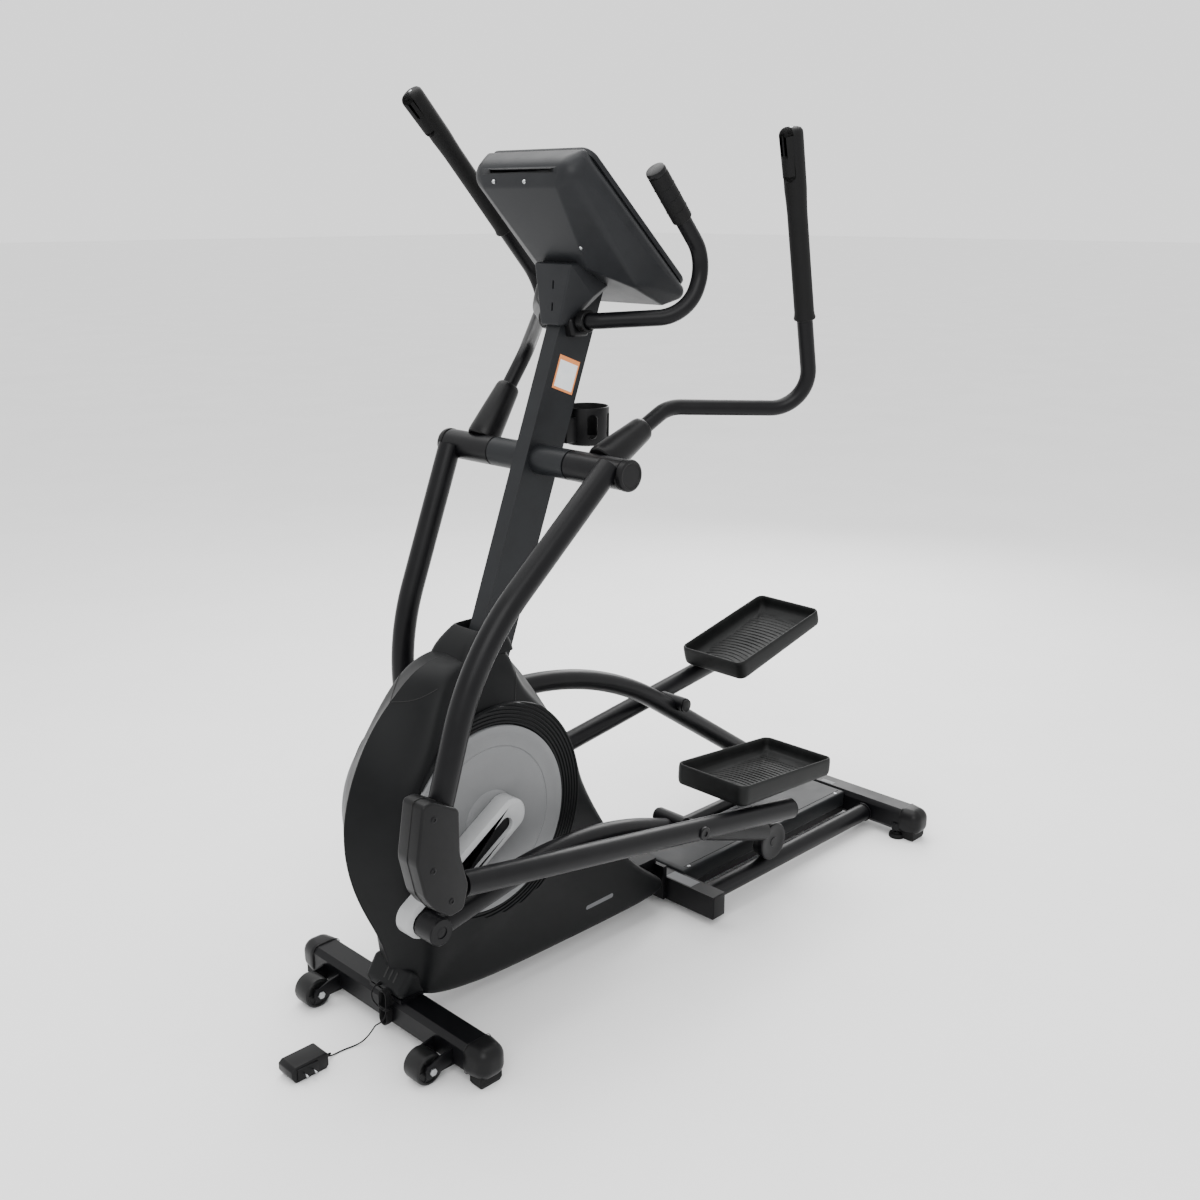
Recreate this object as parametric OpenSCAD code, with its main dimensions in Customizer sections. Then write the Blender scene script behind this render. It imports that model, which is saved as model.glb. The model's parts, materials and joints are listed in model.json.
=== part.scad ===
// Front-drive elliptical trainer, millimetres, +Z up.
// X runs from the front stabiliser to the rear one, -Y is the user's left side.
// The origin lies on the floor under the middle of the machine.

/* [Frame] */
// Place of the front stabiliser along X
front_foot_x = -682.4; // [-760:0.1:-640]
// Distance from the front stabiliser to the rear one
foot_span = 1467; // [1440:1:1520]
// Half length of each stabiliser bar
bar_half = 262; // [240:1:290]
// Width and height of each stabiliser bar
bar_size = 62; // [50:1:66]
// Lean of the mast from the vertical, degrees
mast_lean = 20.8; // [18:0.1:22]
// Depth of the mast section
mast_depth = 90; // [70:1:95]
// Width of the mast section
mast_width = 38; // [30:1:42]

/* [Linkage] */
// Swing axis from the front stabiliser
swing_x = 390; // [380:1:400]
// Height of the swing axis
swing_z = 1110; // [1100:1:1120]
// Swing axis to the lower pivot
swing_len = 827; // [824:1:830]
// Crank axis from the front stabiliser
crank_x = 160; // [155:1:165]
// Height of the crank axis
crank_z = 435; // [430:1:440]
// Crank throw
crank_r = 240; // [236:1:243]
// Crank pin to roller axle
rail_len = 1073; // [1070:1:1078]
// Height of the roller axle
roller_z = 100; // [99:1:102]
// Cross pivot along the line from crank pin to roller
pivot_along = 665; // [662:1:668]
// Cross pivot above that line
pivot_up = 119; // [116:1:122]
// Lower pivot to cross pivot
arm_len = 703; // [700:1:706]
// Crank angle of the left side at rest, degrees
crank_angle = 212; // [209:1:215]

/* [Sideways places] */
// Middle of the stride rails
rail_y = 184; // [183:1:185]
// Middle of the lower swing tubes
swing_y = 232; // [230:1:234]
// Middle of the pedal arms
arm_y = 240; // [239:1:242]
// Middle of the rollers and their track tubes
roller_y = 141; // [140:1:142]
// Middle of the pedals
pedal_y = 154; // [150:1:158]

/* [Tubes] */
// Radius of the swing, pedal arm and stride rail tubes
tube_r = 24; // [22:0.5:24]
// Radius of the handlebar tube
bar_r = 16; // [14:0.5:16]
// Radius of the swing sleeves and the cross tube
sleeve_r = 30; // [28:0.5:31]

/* [Pedals] */
// Length of a pedal
pedal_len = 330; // [300:1:340]
// Width of a pedal
pedal_w = 206; // [180:1:212]
// Height of a pedal's rim
pedal_h = 38; // [30:1:42]
// Tilt of a pedal from its arm, degrees
pedal_tilt = 6.4; // [5:0.1:8]

/* [Shroud] */
// Half width of the shroud at the crank discs
shroud_half = 112; // [112:1:113]
// Wall of the shroud
shroud_wall = 3; // [2:0.5:3.5]
// Radius of the crank discs
disc_r = 192; // [186:1:193]

/* [Hidden] */
$fn = 64;

LEFT = -1;
RIGHT = 1;
swing_axis = [swing_x, swing_z];
crank_axis = [crank_x, crank_z];
rear_x = foot_span;
bar_z = 50;
wheel_axis = [-80, 32.5];
wheel_y = 184;
foot_y = 238;

// welded frame, drive and rear track
beam_z = 88;
beam_end = 735;
upright_y = 21.5;
flywheel_axis = [352, 232];
brake_pivot = [374, 110];
belt_y = 51;
pulley_r = 128;
mast_foot_z = 640;
mast_top_z = 1446;
rail_front_x = 740;
track_z = 44;
track_r = 22;
track_end = rear_x - bar_size * 0.53;

// ---- linkage at rest, worked out in the X-Z plane ----
function turn(p, a) = [p[0] * cos(a) - p[1] * sin(a), p[0] * sin(a) + p[1] * cos(a)];
function side_angle(s) = s == LEFT ? crank_angle : crank_angle - 180;
function pin_at(s) = crank_axis + crank_r * [cos(side_angle(s)), sin(side_angle(s))];
function roller_at(s) =
    let (a = pin_at(s)) [a[0] + sqrt(pow(rail_len, 2) - pow(a[1] - roller_z, 2)), roller_z];
function heading(p, q) = atan2(q[1] - p[1], q[0] - p[0]);
function rail_angle(s) = heading(pin_at(s), roller_at(s));
function pivot_at(s) = pin_at(s) + turn([pivot_along, pivot_up], rail_angle(s));
function arm_foot_at(s) =
    let (v = pivot_at(s) - swing_axis,
         d = norm(v),
         a = (swing_len * swing_len - arm_len * arm_len + d * d) / (2 * d),
         h = sqrt(swing_len * swing_len - a * a))
    swing_axis + a * v / d + h * [v[1], -v[0]] / d;
function arm_angle(s) = heading(arm_foot_at(s), pivot_at(s));
function swing_angle(s) = heading(swing_axis, arm_foot_at(s)) + 90;

// ---- shared shapes ----
module on_machine() {
    translate([front_foot_x, 0, 0]) children();
}

// mirrors a right-hand shape to side s
module on_side(s) {
    if (s == LEFT) mirror([0, 1, 0]) children();
    else children();
}

// puts a shape drawn in an X-Z frame at point p, turned by angle a
module hung(p, a) {
    translate([p[0], 0, p[1]]) rotate([0, -a, 0]) children();
}

module swing_frame(s) {
    on_machine() on_side(s) hung(swing_axis, swing_angle(s)) children();
}

module arm_frame(s) {
    on_machine() on_side(s) hung(arm_foot_at(s), arm_angle(s)) children();
}

module rail_frame_of(s) {
    on_machine() on_side(s) hung(pin_at(s), rail_angle(s)) children();
}

// round bar along Y at x, z between two side positions
module bar_y(p, y0, y1, r) {
    translate([p[0], y1, p[1]]) rotate([90, 0, 0]) cylinder(r = r, h = y1 - y0);
}

module ring_y(p, y0, y1, r, bore) {
    difference() {
        bar_y(p, y0, y1, r);
        bar_y(p, y0 - 1, y1 + 1, bore);
    }
}

// plate with an outline in the X-Z plane, between two side positions
module plate_y(points, y0, y1) {
    translate([0, y1, 0]) rotate([90, 0, 0]) linear_extrude(y1 - y0) polygon(points);
}

module rounded(l, w, r) {
    square([l, w - 2 * r], center = true);
    square([l - 2 * r, w], center = true);
    for (x = [-1, 1], y = [-1, 1]) translate([x * (l / 2 - r), y * (w / 2 - r)]) circle(r);
}

// rod between two points
module rod(p, q, r) {
    v = q - p;
    translate(p) rotate([0, acos(v[2] / norm(v)), atan2(v[1], v[0])]) cylinder(r = r, h = norm(v));
}

// path through corner points, each corner rounded to radius bend with n steps
function rounded_path(p, bend, n = 8) = [
    for (i = [0:len(p) - 1])
        if (i == 0 || i == len(p) - 1) p[i]
        else let (u = (p[i - 1] - p[i]) / norm(p[i - 1] - p[i]),
                  v = (p[i + 1] - p[i]) / norm(p[i + 1] - p[i]),
                  half = acos(u * v) / 2,
                  m = (u + v) / norm(u + v),
                  c = p[i] + m * bend / sin(half),
                  w = (v - u) / norm(v - u))
            for (k = [-n:2:n])
                let (a = k / n * (90 - half)) c + bend * (w * sin(a) - m * cos(a))
];

// tube swept along a list of points, closed at both ends
function ring_frame(path, i, ref) =
    let (t = i == 0 ? path[1] - path[0]
           : i == len(path) - 1 ? path[i] - path[i - 1]
           : (path[i] - path[i - 1]) / norm(path[i] - path[i - 1])
             + (path[i + 1] - path[i]) / norm(path[i + 1] - path[i]),
         a = cross(ref, t),
         u = a / norm(a),
         b = cross(t, u))
    [u, b / norm(b)];

module swept(path, r, sides, ref) {
    n = len(path);
    points = [for (i = [0:n - 1])
        let (f = ring_frame(path, i, ref))
        for (k = [0:sides - 1])
            path[i] + r * (cos(k * 360 / sides) * f[0] + sin(k * 360 / sides) * f[1])];
    walls = [for (i = [0:n - 2], k = [0:sides - 1])
        let (a = i * sides + k, b = i * sides + (k + 1) % sides)
        [a, a + sides, b + sides, b]];
    ends = [[for (k = [0:sides - 1]) k], [for (k = [sides - 1:-1:0]) (n - 1) * sides + k]];
    polyhedron(points, concat(walls, ends), convexity = 6);
}

// tube through three points with a bend of radius bend at the middle one
module bent_tube(p0, p1, p2, bend, r) {
    swept(rounded_path([p0, p1, p2], bend, 10), r, 32, [0, 1, 0]);
}

// ---- base ----
module bar_section(size) {
    intersection() {
        circle(r = size * 0.62);
        square([size * 1.06, size], center = true);
    }
}

module stabiliser_bar(x) {
    translate([x, bar_half, bar_z]) rotate([90, 0, 0]) linear_extrude(2 * bar_half) bar_section(bar_size);
}

module front_stabiliser() {
    color("#1c1d1f") on_machine() {
        stabiliser_bar(0);
        for (s = [LEFT, RIGHT]) {
            for (e = [-27, 27]) translate([-92, s * wheel_y + e - 2.5, 24]) cube([70, 5, 24]);
            bar_y(wheel_axis, s * wheel_y - 27, s * wheel_y + 27, 6);
        }
        translate([-30, -52, bar_z + bar_size / 2 - 1]) cube([76, 104, beam_z - bar_z - bar_size / 2 + 1]);
    }
}

module rear_stabiliser() {
    color("#1c1d1f") on_machine() difference() {
        union() {
            stabiliser_bar(rear_x);
            for (s = [LEFT, RIGHT]) translate([rear_x - 22, s * foot_y, 22]) cylinder(r = 15, h = 20);
        }
        for (s = [LEFT, RIGHT]) translate([rear_x - 22, s * foot_y, 10]) cylinder(r = 4.6, h = 45);
    }
}

module stabiliser_caps() {
    color("#151617") on_machine() for (x = [0, rear_x], s = [LEFT, RIGHT]) translate([x, s * bar_half, bar_z])
        rotate([0, 0, s == LEFT ? 180 : 0]) {
            rotate([-90, 0, 0]) linear_extrude(14) bar_section(bar_size + 8);
            translate([0, 14, 0]) intersection() {
                sphere(r = 40);
                translate([-34, 0, -35]) cube([68, 26, 70]);
            }
            translate([-24, 2, -50]) cube([48, 22, 20]);
        }
}

// outline of a plate that carries the crank and the flywheel
module upright_outline() {
    difference() {
        hull() {
            translate(crank_axis) circle(r = 42, $fn = 32);
            translate(flywheel_axis) circle(r = 26, $fn = 32);
            translate([70, beam_z + 4]) square([360, 6]);
            translate([160, mast_foot_z]) square([115, 66]);
        }
        translate(crank_axis) circle(r = 26);
        translate(flywheel_axis) circle(r = 13);
    }
}

module main_frame() {
    color("#26282a") on_machine() {
        translate([-14, -30, beam_z]) cube([beam_end + 14, 60, 30]);
        translate([beam_end - 6, -60, 22]) cube([rail_front_x - beam_end + 6, 120, 84]);
        for (s = [LEFT, RIGHT]) translate([0, s * upright_y + 2.5, 0]) rotate([90, 0, 0])
            linear_extrude(5) upright_outline();
        translate([brake_pivot[0] - 9, -36, beam_z + 4]) cube([18, 6, 30]);
        bar_y(brake_pivot, -74, -32, 5);
    }
}

module mast_frame() {
    on_machine() translate([swing_x + 9, 0, swing_z]) rotate([0, mast_lean, 0]) children();
}

module mast() {
    low = (mast_foot_z - swing_z) / cos(mast_lean);
    high = (mast_top_z - swing_z) / cos(mast_lean);
    color("#2b2d30") difference() {
        union() {
            mast_frame() difference() {
                translate([-mast_depth / 2, -mast_width / 2, low]) cube([mast_depth, mast_width, high - low]);
                translate([3 - mast_depth / 2, 3 - mast_width / 2, low - 1])
                    cube([mast_depth - 6, mast_width - 6, high - low + 2]);
            }
            on_machine() bar_y(swing_axis, -110, 110, sleeve_r);
        }
        on_machine() bar_y(swing_axis, -111, 111, 15);
        on_machine() bar_y(bar_place, -60, 60, bar_r);
    }
}

// ---- shroud ----
module shroud_side(front, low, high, rear) {
    polygon([[high, 752], [front + 104, 700], [front + 36, 600], [front, 490], [front - 2, 400], [front + 24, 300],
        [front + 62, 200], [front + 72, low + 20], [front + 92, low], [rear, low], [rear, low + 44], [541, 293],
        [470, 440], [429, 538], [361, 636], [296, 711], [284, 752]]);
}

module shroud_solid(wall) {
    hull() {
        rotate([90, 0, 0]) translate([0, 0, wall - 54]) linear_extrude(2 * (54 - wall)) intersection() {
            shroud_side(-96 + wall, 40, 150 + wall, 640);
            translate([-200, 300]) square([662 - wall, wall == 0 ? 452 : 449]);
        }
        bar_y([crank_x + 18, crank_z], wall - shroud_half, shroud_half - wall, 224 - wall);
    }
    hull() {
        rotate([90, 0, 0]) translate([0, 0, wall - 82]) linear_extrude(2 * (82 - wall)) offset(delta = -wall)
            polygon([[-20, 130], [20, 66], [728, 66], [728, 84], [541, 293], [430, 350], [10, 330]]);
        translate([60, wall - 70, 40]) cube([640, 2 * (70 - wall), 30]);
    }
}

module shroud_half_shell(s) {
    color("#232527") on_machine() difference() {
        shroud_solid(0);
        shroud_solid(shroud_wall);
        translate([-300, s == LEFT ? -0.2 : -299.8, 0]) cube([1200, 300, 1000]);
        bar_y(crank_axis, -200, 200, disc_r + 3);
        mast_space(1);
        translate([-60, -64, 20]) cube([122, 128, 104]);
        translate([-36, -120, 10]) cube([72, 240, 74]);
        translate([680, -30.5, beam_z - 0.5]) cube([60, 61, 31]);
    }
}

// space taken by the mast, with a gap all round
module mast_space(gap) {
    translate([swing_x + 9, 0, swing_z]) rotate([0, mast_lean, 0])
        translate([-mast_depth / 2 - gap, -mast_width / 2 - gap, -600])
            cube([mast_depth + 2 * gap, mast_width + 2 * gap, 1000]);
}

module shroud_left() { shroud_half_shell(LEFT); }
module shroud_right() { shroud_half_shell(RIGHT); }

module nose_solid(wall) {
    hull() {
        translate([-30 + wall, wall - 64, 88]) cube([92 - wall, 128 - 2 * wall, 4]);
        translate([-20 + wall, wall - 56, 120 - wall]) cube([82 - wall, 112 - 2 * wall, 4]);
    }
}

module nose_cover() {
    color("#1e2022") on_machine() difference() {
        nose_solid(0);
        nose_solid(3);
        translate([-27, -61, 80]) cube([100, 122, 12]);
        translate([50, -53, 92]) cube([20, 106, 29]);
        translate([-45, socket_place[1], socket_place[2]]) rotate([0, 90, 0]) cylinder(r = 6.05, h = 30);
    }
}

module mast_collar() {
    color("#27292b") on_machine() difference() {
        hull() {
            translate([152, -54, 752]) cube([130, 108, 3]);
            translate([200, -40, 790]) cube([64, 80, 6]);
        }
        hull() {
            translate([155, -51, 751]) cube([124, 102, 3]);
            translate([202, -37, 787]) cube([59, 74, 3]);
        }
        mast_space(0);
    }
}

// ---- cross shaft ----
module swing_shaft() {
    color("#8d9092") on_machine() bar_y(swing_axis, -258, 258, 15);
}

module swing_bushes() {
    color("#a08a55") on_machine() for (s = [LEFT, RIGHT], y = [114, 230])
        on_side(s) ring_y(swing_axis, y, y + 24, 20, 15);
}

module shaft_caps() {
    color("#141516") on_machine() for (s = [LEFT, RIGHT]) on_side(s) {
        bar_y(swing_axis, 258, 264, sleeve_r + 1);
        bar_y(swing_axis, 264, 267, sleeve_r - 4);
        bar_y(swing_axis, 267, 271, 8);
    }
}

// ---- rear rail unit ----
module rail_frame() {
    color("#17181a") on_machine() {
        difference() {
            translate([rail_front_x, -200, 20]) cube([42, 400, 56]);
            translate([rail_front_x + 3, -201, 23]) cube([36, 402, 50]);
        }
        for (s = [LEFT, RIGHT]) {
            translate([rail_front_x, s * 201.5 - 1.5, 20]) cube([42, 3, 56]);
            translate([rail_front_x + 42, s * roller_y, track_z]) rotate([0, 90, 0])
                cylinder(r = track_r, h = track_end - rail_front_x - 42);
        }
        translate([rail_front_x + 42, -72, 22]) cube([track_end - rail_front_x - 42, 144, 44]);
    }
}

module rail_cover() {
    color("#3a3d40") on_machine() difference() {
        translate([rail_front_x + 42, -75, 40]) cube([track_end - rail_front_x - 42, 150, 41]);
        translate([rail_front_x + 41, -72, 39]) cube([track_end - rail_front_x, 144, 39]);
    }
}

// ---- drive ----
module crank_bearings() {
    color("#9a9c9e") on_machine() {
        for (s = [LEFT, RIGHT]) on_side(s) {
            ring_y(crank_axis, 16, 28, 26, 15);
            ring_y(flywheel_axis, 16, 28, 13, 8);
        }
    }
}

module crank_axle() {
    color("#7d8083") on_machine() bar_y(crank_axis, -126, 126, 14.95);
}

module drive_pulley() {
    color("#303234") on_machine() difference() {
        bar_y(crank_axis, belt_y - 7, belt_y + 7, pulley_r);
        for (k = [0:4]) {
            p = crank_axis + 74 * [cos(72 * k), sin(72 * k)];
            bar_y(p, belt_y - 8, belt_y + 8, 27);
        }
        bar_y(crank_axis, belt_y - 8, belt_y + 8, 14.95);
    }
}

module belt_outline(grow) {
    hull() {
        translate([crank_x, crank_z]) circle(r = pulley_r + grow, $fn = 96);
        translate([flywheel_axis[0], flywheel_axis[1]]) circle(r = 25 + grow, $fn = 96);
    }
}

module drive_belt() {
    color("#111213") on_machine() translate([0, belt_y + 5, 0]) rotate([90, 0, 0]) linear_extrude(10)
        difference() {
            belt_outline(3.6);
            belt_outline(0.6);
        }
}

module flywheel() {
    color("#6d7072") on_machine() {
        bar_y(flywheel_axis, -76, 62, 7.95);
        difference() {
            bar_y(flywheel_axis, -68, -42, 104);
            bar_y(flywheel_axis, -56, -41, 84);
            bar_y(flywheel_axis, -69, -41, 7.95);
        }
        bar_y(flywheel_axis, -56, -36, 22);
        bar_y(flywheel_axis, belt_y - 7, belt_y + 7, 25);
    }
}

module brake_arm() {
    color("#84878a") on_machine() difference() {
        union() {
            intersection() {
                ring_y(flywheel_axis, -70, -40, 118, 107);
                plate_y([flywheel_axis, [600, 210], [600, 60], [390, 60], [390, 128]], -70, -40);
            }
            plate_y([[368, 120], [383, 102], [398, 119], [391, 129]], -66, -44);
            bar_y(brake_pivot, -66, -44, 12);
        }
        bar_y(brake_pivot, -67, -43, 5.05);
    }
}

module servo_motor() {
    color("#3b3d3f") on_machine() {
        translate([560, -24, beam_z + 30]) cube([56, 44, 38]);
        bar_y([588, beam_z + 49], 20, 36, 14);
    }
}

// disc moulding with a raised rim, on the outer side of the shroud
module crank_discs() {
    color("#8b8d8e") on_machine() for (s = [LEFT, RIGHT]) on_side(s) difference() {
        union() {
            bar_y(crank_axis, 106, 114, disc_r);
            ring_y(crank_axis, 114, 116, disc_r, disc_r - 14);
        }
        bar_y(crank_axis, 105, 118, 14.95);
    }
}

module crank_frame(s) {
    on_machine() on_side(s) hung(crank_axis, side_angle(s)) children();
}

// slot-shaped outline along the crank, from x0 to x1
module slot_y(x0, x1, y0, y1, r) {
    bar_y([x0, 0], y0, y1, r);
    bar_y([x1, 0], y0, y1, r);
    translate([x0, y0, -r]) cube([x1 - x0, y1 - y0, 2 * r]);
}

module crank_covers() {
    color("#b4b6b7") for (s = [LEFT, RIGHT]) crank_frame(s) difference() {
        slot_y(-28, crank_r, 116, 157, 34);
        slot_y(-28, crank_r, 121, 158, 18);
        bar_y([crank_r, 0], 121, 158, 25);
        bar_y([0, 0], 115, 130, 24);
    }
}

module crank_arms() {
    color("#161718") for (s = [LEFT, RIGHT]) crank_frame(s) difference() {
        union() {
            slot_y(-28, crank_r, 126.5, 148, 17.7);
            bar_y([0, 0], 114, 127, 22);
            bar_y([crank_r, 0], 148, 158, 22);
        }
        bar_y([0, 0], 110, 126, 14.95);
    }
}

// ---- swing side: drawn with the lower pivot straight below the axis ----
boot_top = [80, 172, 130];
elbow_high = [335, 340, 322];
grip_top = [-51, 357, 696];
grip_foot = elbow_high + 0.345 * (grip_top - elbow_high);
boot_dir = [boot_top[0], 0, boot_top[2]] / norm([boot_top[0], 0, boot_top[2]]);
tube_corners = [[-25, swing_y, 0], [-152, swing_y, -430], [-52, swing_y, -800]];

function up_boot(d) = [boot_dir[0] * d, boot_top[1], boot_dir[2] * d];

elbow_low = up_boot(230);

module pivot_ear(y0, y1) {
    plate_y([[-84, -762], [-22, -770], [18, -swing_len + 8], [0, -swing_len - 20], [-70, -812]], y0, y1);
    bar_y([0, -swing_len], y0, y1, 20);
}

module swing_arm(s) {
    color("#1f2123") swing_frame(s) {
        difference() {
            union() {
                bar_y([0, 0], 112.5, 256, sleeve_r);
                bent_tube(tube_corners[0], tube_corners[1], tube_corners[2], 500, tube_r);
                rod(up_boot(20), up_boot(58), bar_r);
            }
            bar_y([0, 0], 100, 270, 20.02);
        }
        pivot_ear(214, 220);
        pivot_ear(250, 256);
        bar_y([0, -swing_len], 216, 267, 8);
    }
}

module handle_boot(s) {
    color("#2a2c2e") swing_frame(s) difference() {
        translate([0, boot_top[1], 0]) rotate([0, atan2(boot_dir[0], boot_dir[2]), 0]) difference() {
            translate([0, 0, 22]) cylinder(r1 = 35, r2 = 25, h = 130);
            cylinder(r = bar_r + 0.05, h = 160);
        }
        bar_y([0, 0], 100, 270, sleeve_r + 0.3);
    }
}

module handlebar(s) {
    path = rounded_path([up_boot(58), elbow_low, elbow_high, grip_top], 70, 10);
    color("#1b1c1e") swing_frame(s) swept(path, bar_r, 20, [-0.5, 0.86, 0.1]);
}

module grip(s) {
    v = grip_top - grip_foot;
    u = v / norm(v);
    color("#121314") swing_frame(s) {
        difference() {
            union() {
                rod(grip_foot, grip_top + 14 * u, 22);
                hull() {
                    translate(grip_top + 2 * u + [-10, 0, -10]) sphere(r = 16, $fn = 24);
                    translate(grip_top - 52 * u + [-8, 0, -8]) sphere(r = 16, $fn = 24);
                }
            }
            rod(grip_foot - 2 * u, grip_top + 0.2 * u, bar_r + 0.02);
        }
    }
}

module cover_outline() {
    polygon([[-154, -702], [-136, -688], [-70, -684], [-24, -756], [27, -803], [40, -847], [16, -868], [-28, -864],
        [-60, -850], [-112, -799]]);
}

module pivot_cover(s) {
    color("#202224") swing_frame(s) difference() {
        translate([0, 270, 0]) rotate([90, 0, 0]) linear_extrude(58.5) cover_outline();
        translate([0, 267, 0]) rotate([90, 0, 0]) linear_extrude(53) offset(delta = -3) cover_outline();
        plate_y([[-20, -swing_len - 26], [90, -swing_len - 26], [90, -745], [10, -765], [-20, -800]], 214, 267);
        rod([-44, swing_y, -830], [-114, swing_y, -571], tube_r + 0.5);
    }
}

// ---- pedal arm: drawn with the lower pivot at zero and the cross pivot along +X ----
module pedal_frame() {
    translate([arm_len + 299, pedal_y, 98]) rotate([0, -pedal_tilt, 0]) children();
}

module pedal_arm(s) {
    color("#1f2123") arm_frame(s) {
        difference() {
            union() {
                bar_y([0, 0], 221, 249, 19);
                translate([14, 223, -14]) cube([40, 25, 28]);
                translate([44, arm_y, 0]) rotate([0, 90, 0]) cylinder(r = tube_r, h = arm_len + 300);
            }
            bar_y([0, 0], 210, 270, 8.05);
        }
        bar_y([arm_len, 0], 128, 266, 11);
        bar_y([arm_len, 0], 126, 130, 16);
        bar_y([arm_len, 0], 263, 268, 15);
        pedal_frame() translate([-110, -20, -pedal_h - 6]) cube([230, 112, 6]);
        for (x = [arm_len + 200, arm_len + 320]) translate([x, arm_y - 3, 20])
            cube([50, 6, 98 - pedal_h - 24 + (x - arm_len - 299) * tan(pedal_tilt)]);
    }
}

module pedal(s) {
    color("#191a1b") arm_frame(s) pedal_frame() translate([0, 0, -pedal_h]) difference() {
        linear_extrude(pedal_h) rounded(pedal_len, pedal_w, 34);
        translate([0, 0, 9]) linear_extrude(pedal_h) rounded(pedal_len - 14, pedal_w - 14, 28);
    }
}

// ---- stride rail: drawn with the crank pin at zero and the roller along +X ----
rail_corners = [[0, 184, 0], [370, 177, 143], [1018, 164, 45]];

module stride_rail(s) {
    color("#1f2123") rail_frame_of(s) difference() {
        union() {
            bar_y([0, 0], 159.5, 209, 27);
            bent_tube(rail_corners[0], rail_corners[1], rail_corners[2], 850, tube_r);
            bar_y([pivot_along, pivot_up], 131, 210, 18);
            bar_y([rail_len - 16, 16], 160, 176, 42);
            plate_y([[980, 28], [1020, 20], [1040, 40], [1030, 64], [985, 60]], 162, 175);
        }
        bar_y([pivot_along, pivot_up], 120, 220, 11.05);
    }
}

module roller_axle(s) {
    color("#9b9da0") rail_frame_of(s) {
        bar_y([rail_len, 0], roller_y - 18, 158.5, 8);
        bar_y([rail_len, 0], roller_y - 21, roller_y - 18, 12);
    }
}

module roller(s) {
    color("#2c2d2f") rail_frame_of(s)
        ring_y([rail_len, 0], roller_y - 14, roller_y + 14, roller_z - track_z - track_r - 0.3, 8.05);
}

module swing_arm_left() { swing_arm(LEFT); }
module handle_boot_left() { handle_boot(LEFT); }
module handlebar_left() { handlebar(LEFT); }
module grip_left() { grip(LEFT); }
module pivot_cover_left() { pivot_cover(LEFT); }
module pedal_arm_left() { pedal_arm(LEFT); }
module pedal_left() { pedal(LEFT); }
module stride_rail_left() { stride_rail(LEFT); }
module roller_axle_left() { roller_axle(LEFT); }
module roller_left() { roller(LEFT); }
module swing_arm_right() { swing_arm(RIGHT); }
module handle_boot_right() { handle_boot(RIGHT); }
module handlebar_right() { handlebar(RIGHT); }
module grip_right() { grip(RIGHT); }
module pivot_cover_right() { pivot_cover(RIGHT); }
module pedal_arm_right() { pedal_arm(RIGHT); }
module pedal_right() { pedal(RIGHT); }
module stride_rail_right() { stride_rail(RIGHT); }
module roller_axle_right() { roller_axle(RIGHT); }
module roller_right() { roller(RIGHT); }

// ---- console ----

// wedge between the narrow back and the wide face; the inside is open towards the face
module console_wedge(wall, lift) {
    up = lift * [0.68, 0, 0.73];
    hull() for (s = [-1, 1]) {
        translate([372, s * 100, 1640]) sphere(r = 12 - wall, $fn = 24);
        translate([486, s * 66, 1486]) sphere(r = 12 - wall, $fn = 24);
        translate([404, s * 134, 1676] + up) sphere(r = 16 - wall, $fn = 24);
        translate([668, s * 134, 1428] + up) sphere(r = 12 - wall, $fn = 24);
        translate([640, s * 120, 1412]) sphere(r = 10 - wall, $fn = 24);
    }
}

face_dir = 43;
module face_frame() {
    on_machine() translate([410, 0, 1700]) rotate([0, face_dir, 0]) children();
}

module above_face() {
    face_frame() translate([-100, -300, -7]) cube([700, 600, 300]);
}

module console_back() {
    color("#3b3d40") difference() {
        on_machine() console_wedge(0, 0);
        on_machine() console_wedge(3, 8);
        above_face();
    }
}

module console_face() {
    color("#26282b") difference() {
        face_frame() translate([4, -142, -7]) cube([372, 284, 9]);
        face_frame() translate([40, -90, -1]) cube([120, 180, 10]);
        for (y = [-34, 34]) face_frame() translate([200, y, -20]) cylinder(r = 11.4, h = 40);
    }
}

module console_key(y) {
    color("#8f9294") face_frame() translate([200, y, -10]) cylinder(r = 11, h = 15);
}

module console_key_start() { console_key(34); }
module console_key_stop() { console_key(-34); }

module bracket_cover() {
    color("#34373a") difference() {
        on_machine() hull() {
            translate([418, -70, 1484]) cube([60, 140, 5]);
            translate([410, -28, 1368]) cube([60, 56, 5]);
            translate([500, -58, 1420]) cube([70, 116, 40]);
        }
        on_machine() hull() {
            translate([421, -67, 1480]) cube([54, 134, 12]);
            translate([413, -25, 1366]) cube([54, 50, 5]);
            translate([500, -55, 1423]) cube([67, 110, 40]);
        }
        on_machine() console_wedge(0, 0);
        on_machine() mast_space(0);
        on_machine() bar_y(bar_place, -100, 100, bar_r);
    }
}

bar_place = [486, 1376];
pulse_path = [[bar_place[0], 0, bar_place[1]], [bar_place[0], 60, bar_place[1]], [604, 214, 1388], [652, 216, 1492], [510, 214, 1655]];
module pulse_bar() {
    path = rounded_path(pulse_path, 58, 8);
    mirrored = [for (i = [len(path) - 1:-1:1]) [path[i][0], -path[i][1], path[i][2]]];
    color("#232527") on_machine() difference() {
        swept(concat(mirrored, [for (i = [1:len(path) - 1]) path[i]]), bar_r, 20, [-0.3, 0.02, 1]);
    }
}

module pulse_grips() {
    a = pulse_path[4];
    v = pulse_path[3] - a;
    u = v / norm(v);
    color("#1a1b1c") on_machine() for (s = [LEFT, RIGHT]) on_side(s) difference() {
        rod(a - 6 * u, a + 118 * u, 20);
        rod(a, a + 130 * u, bar_r);
    }
}

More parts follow.
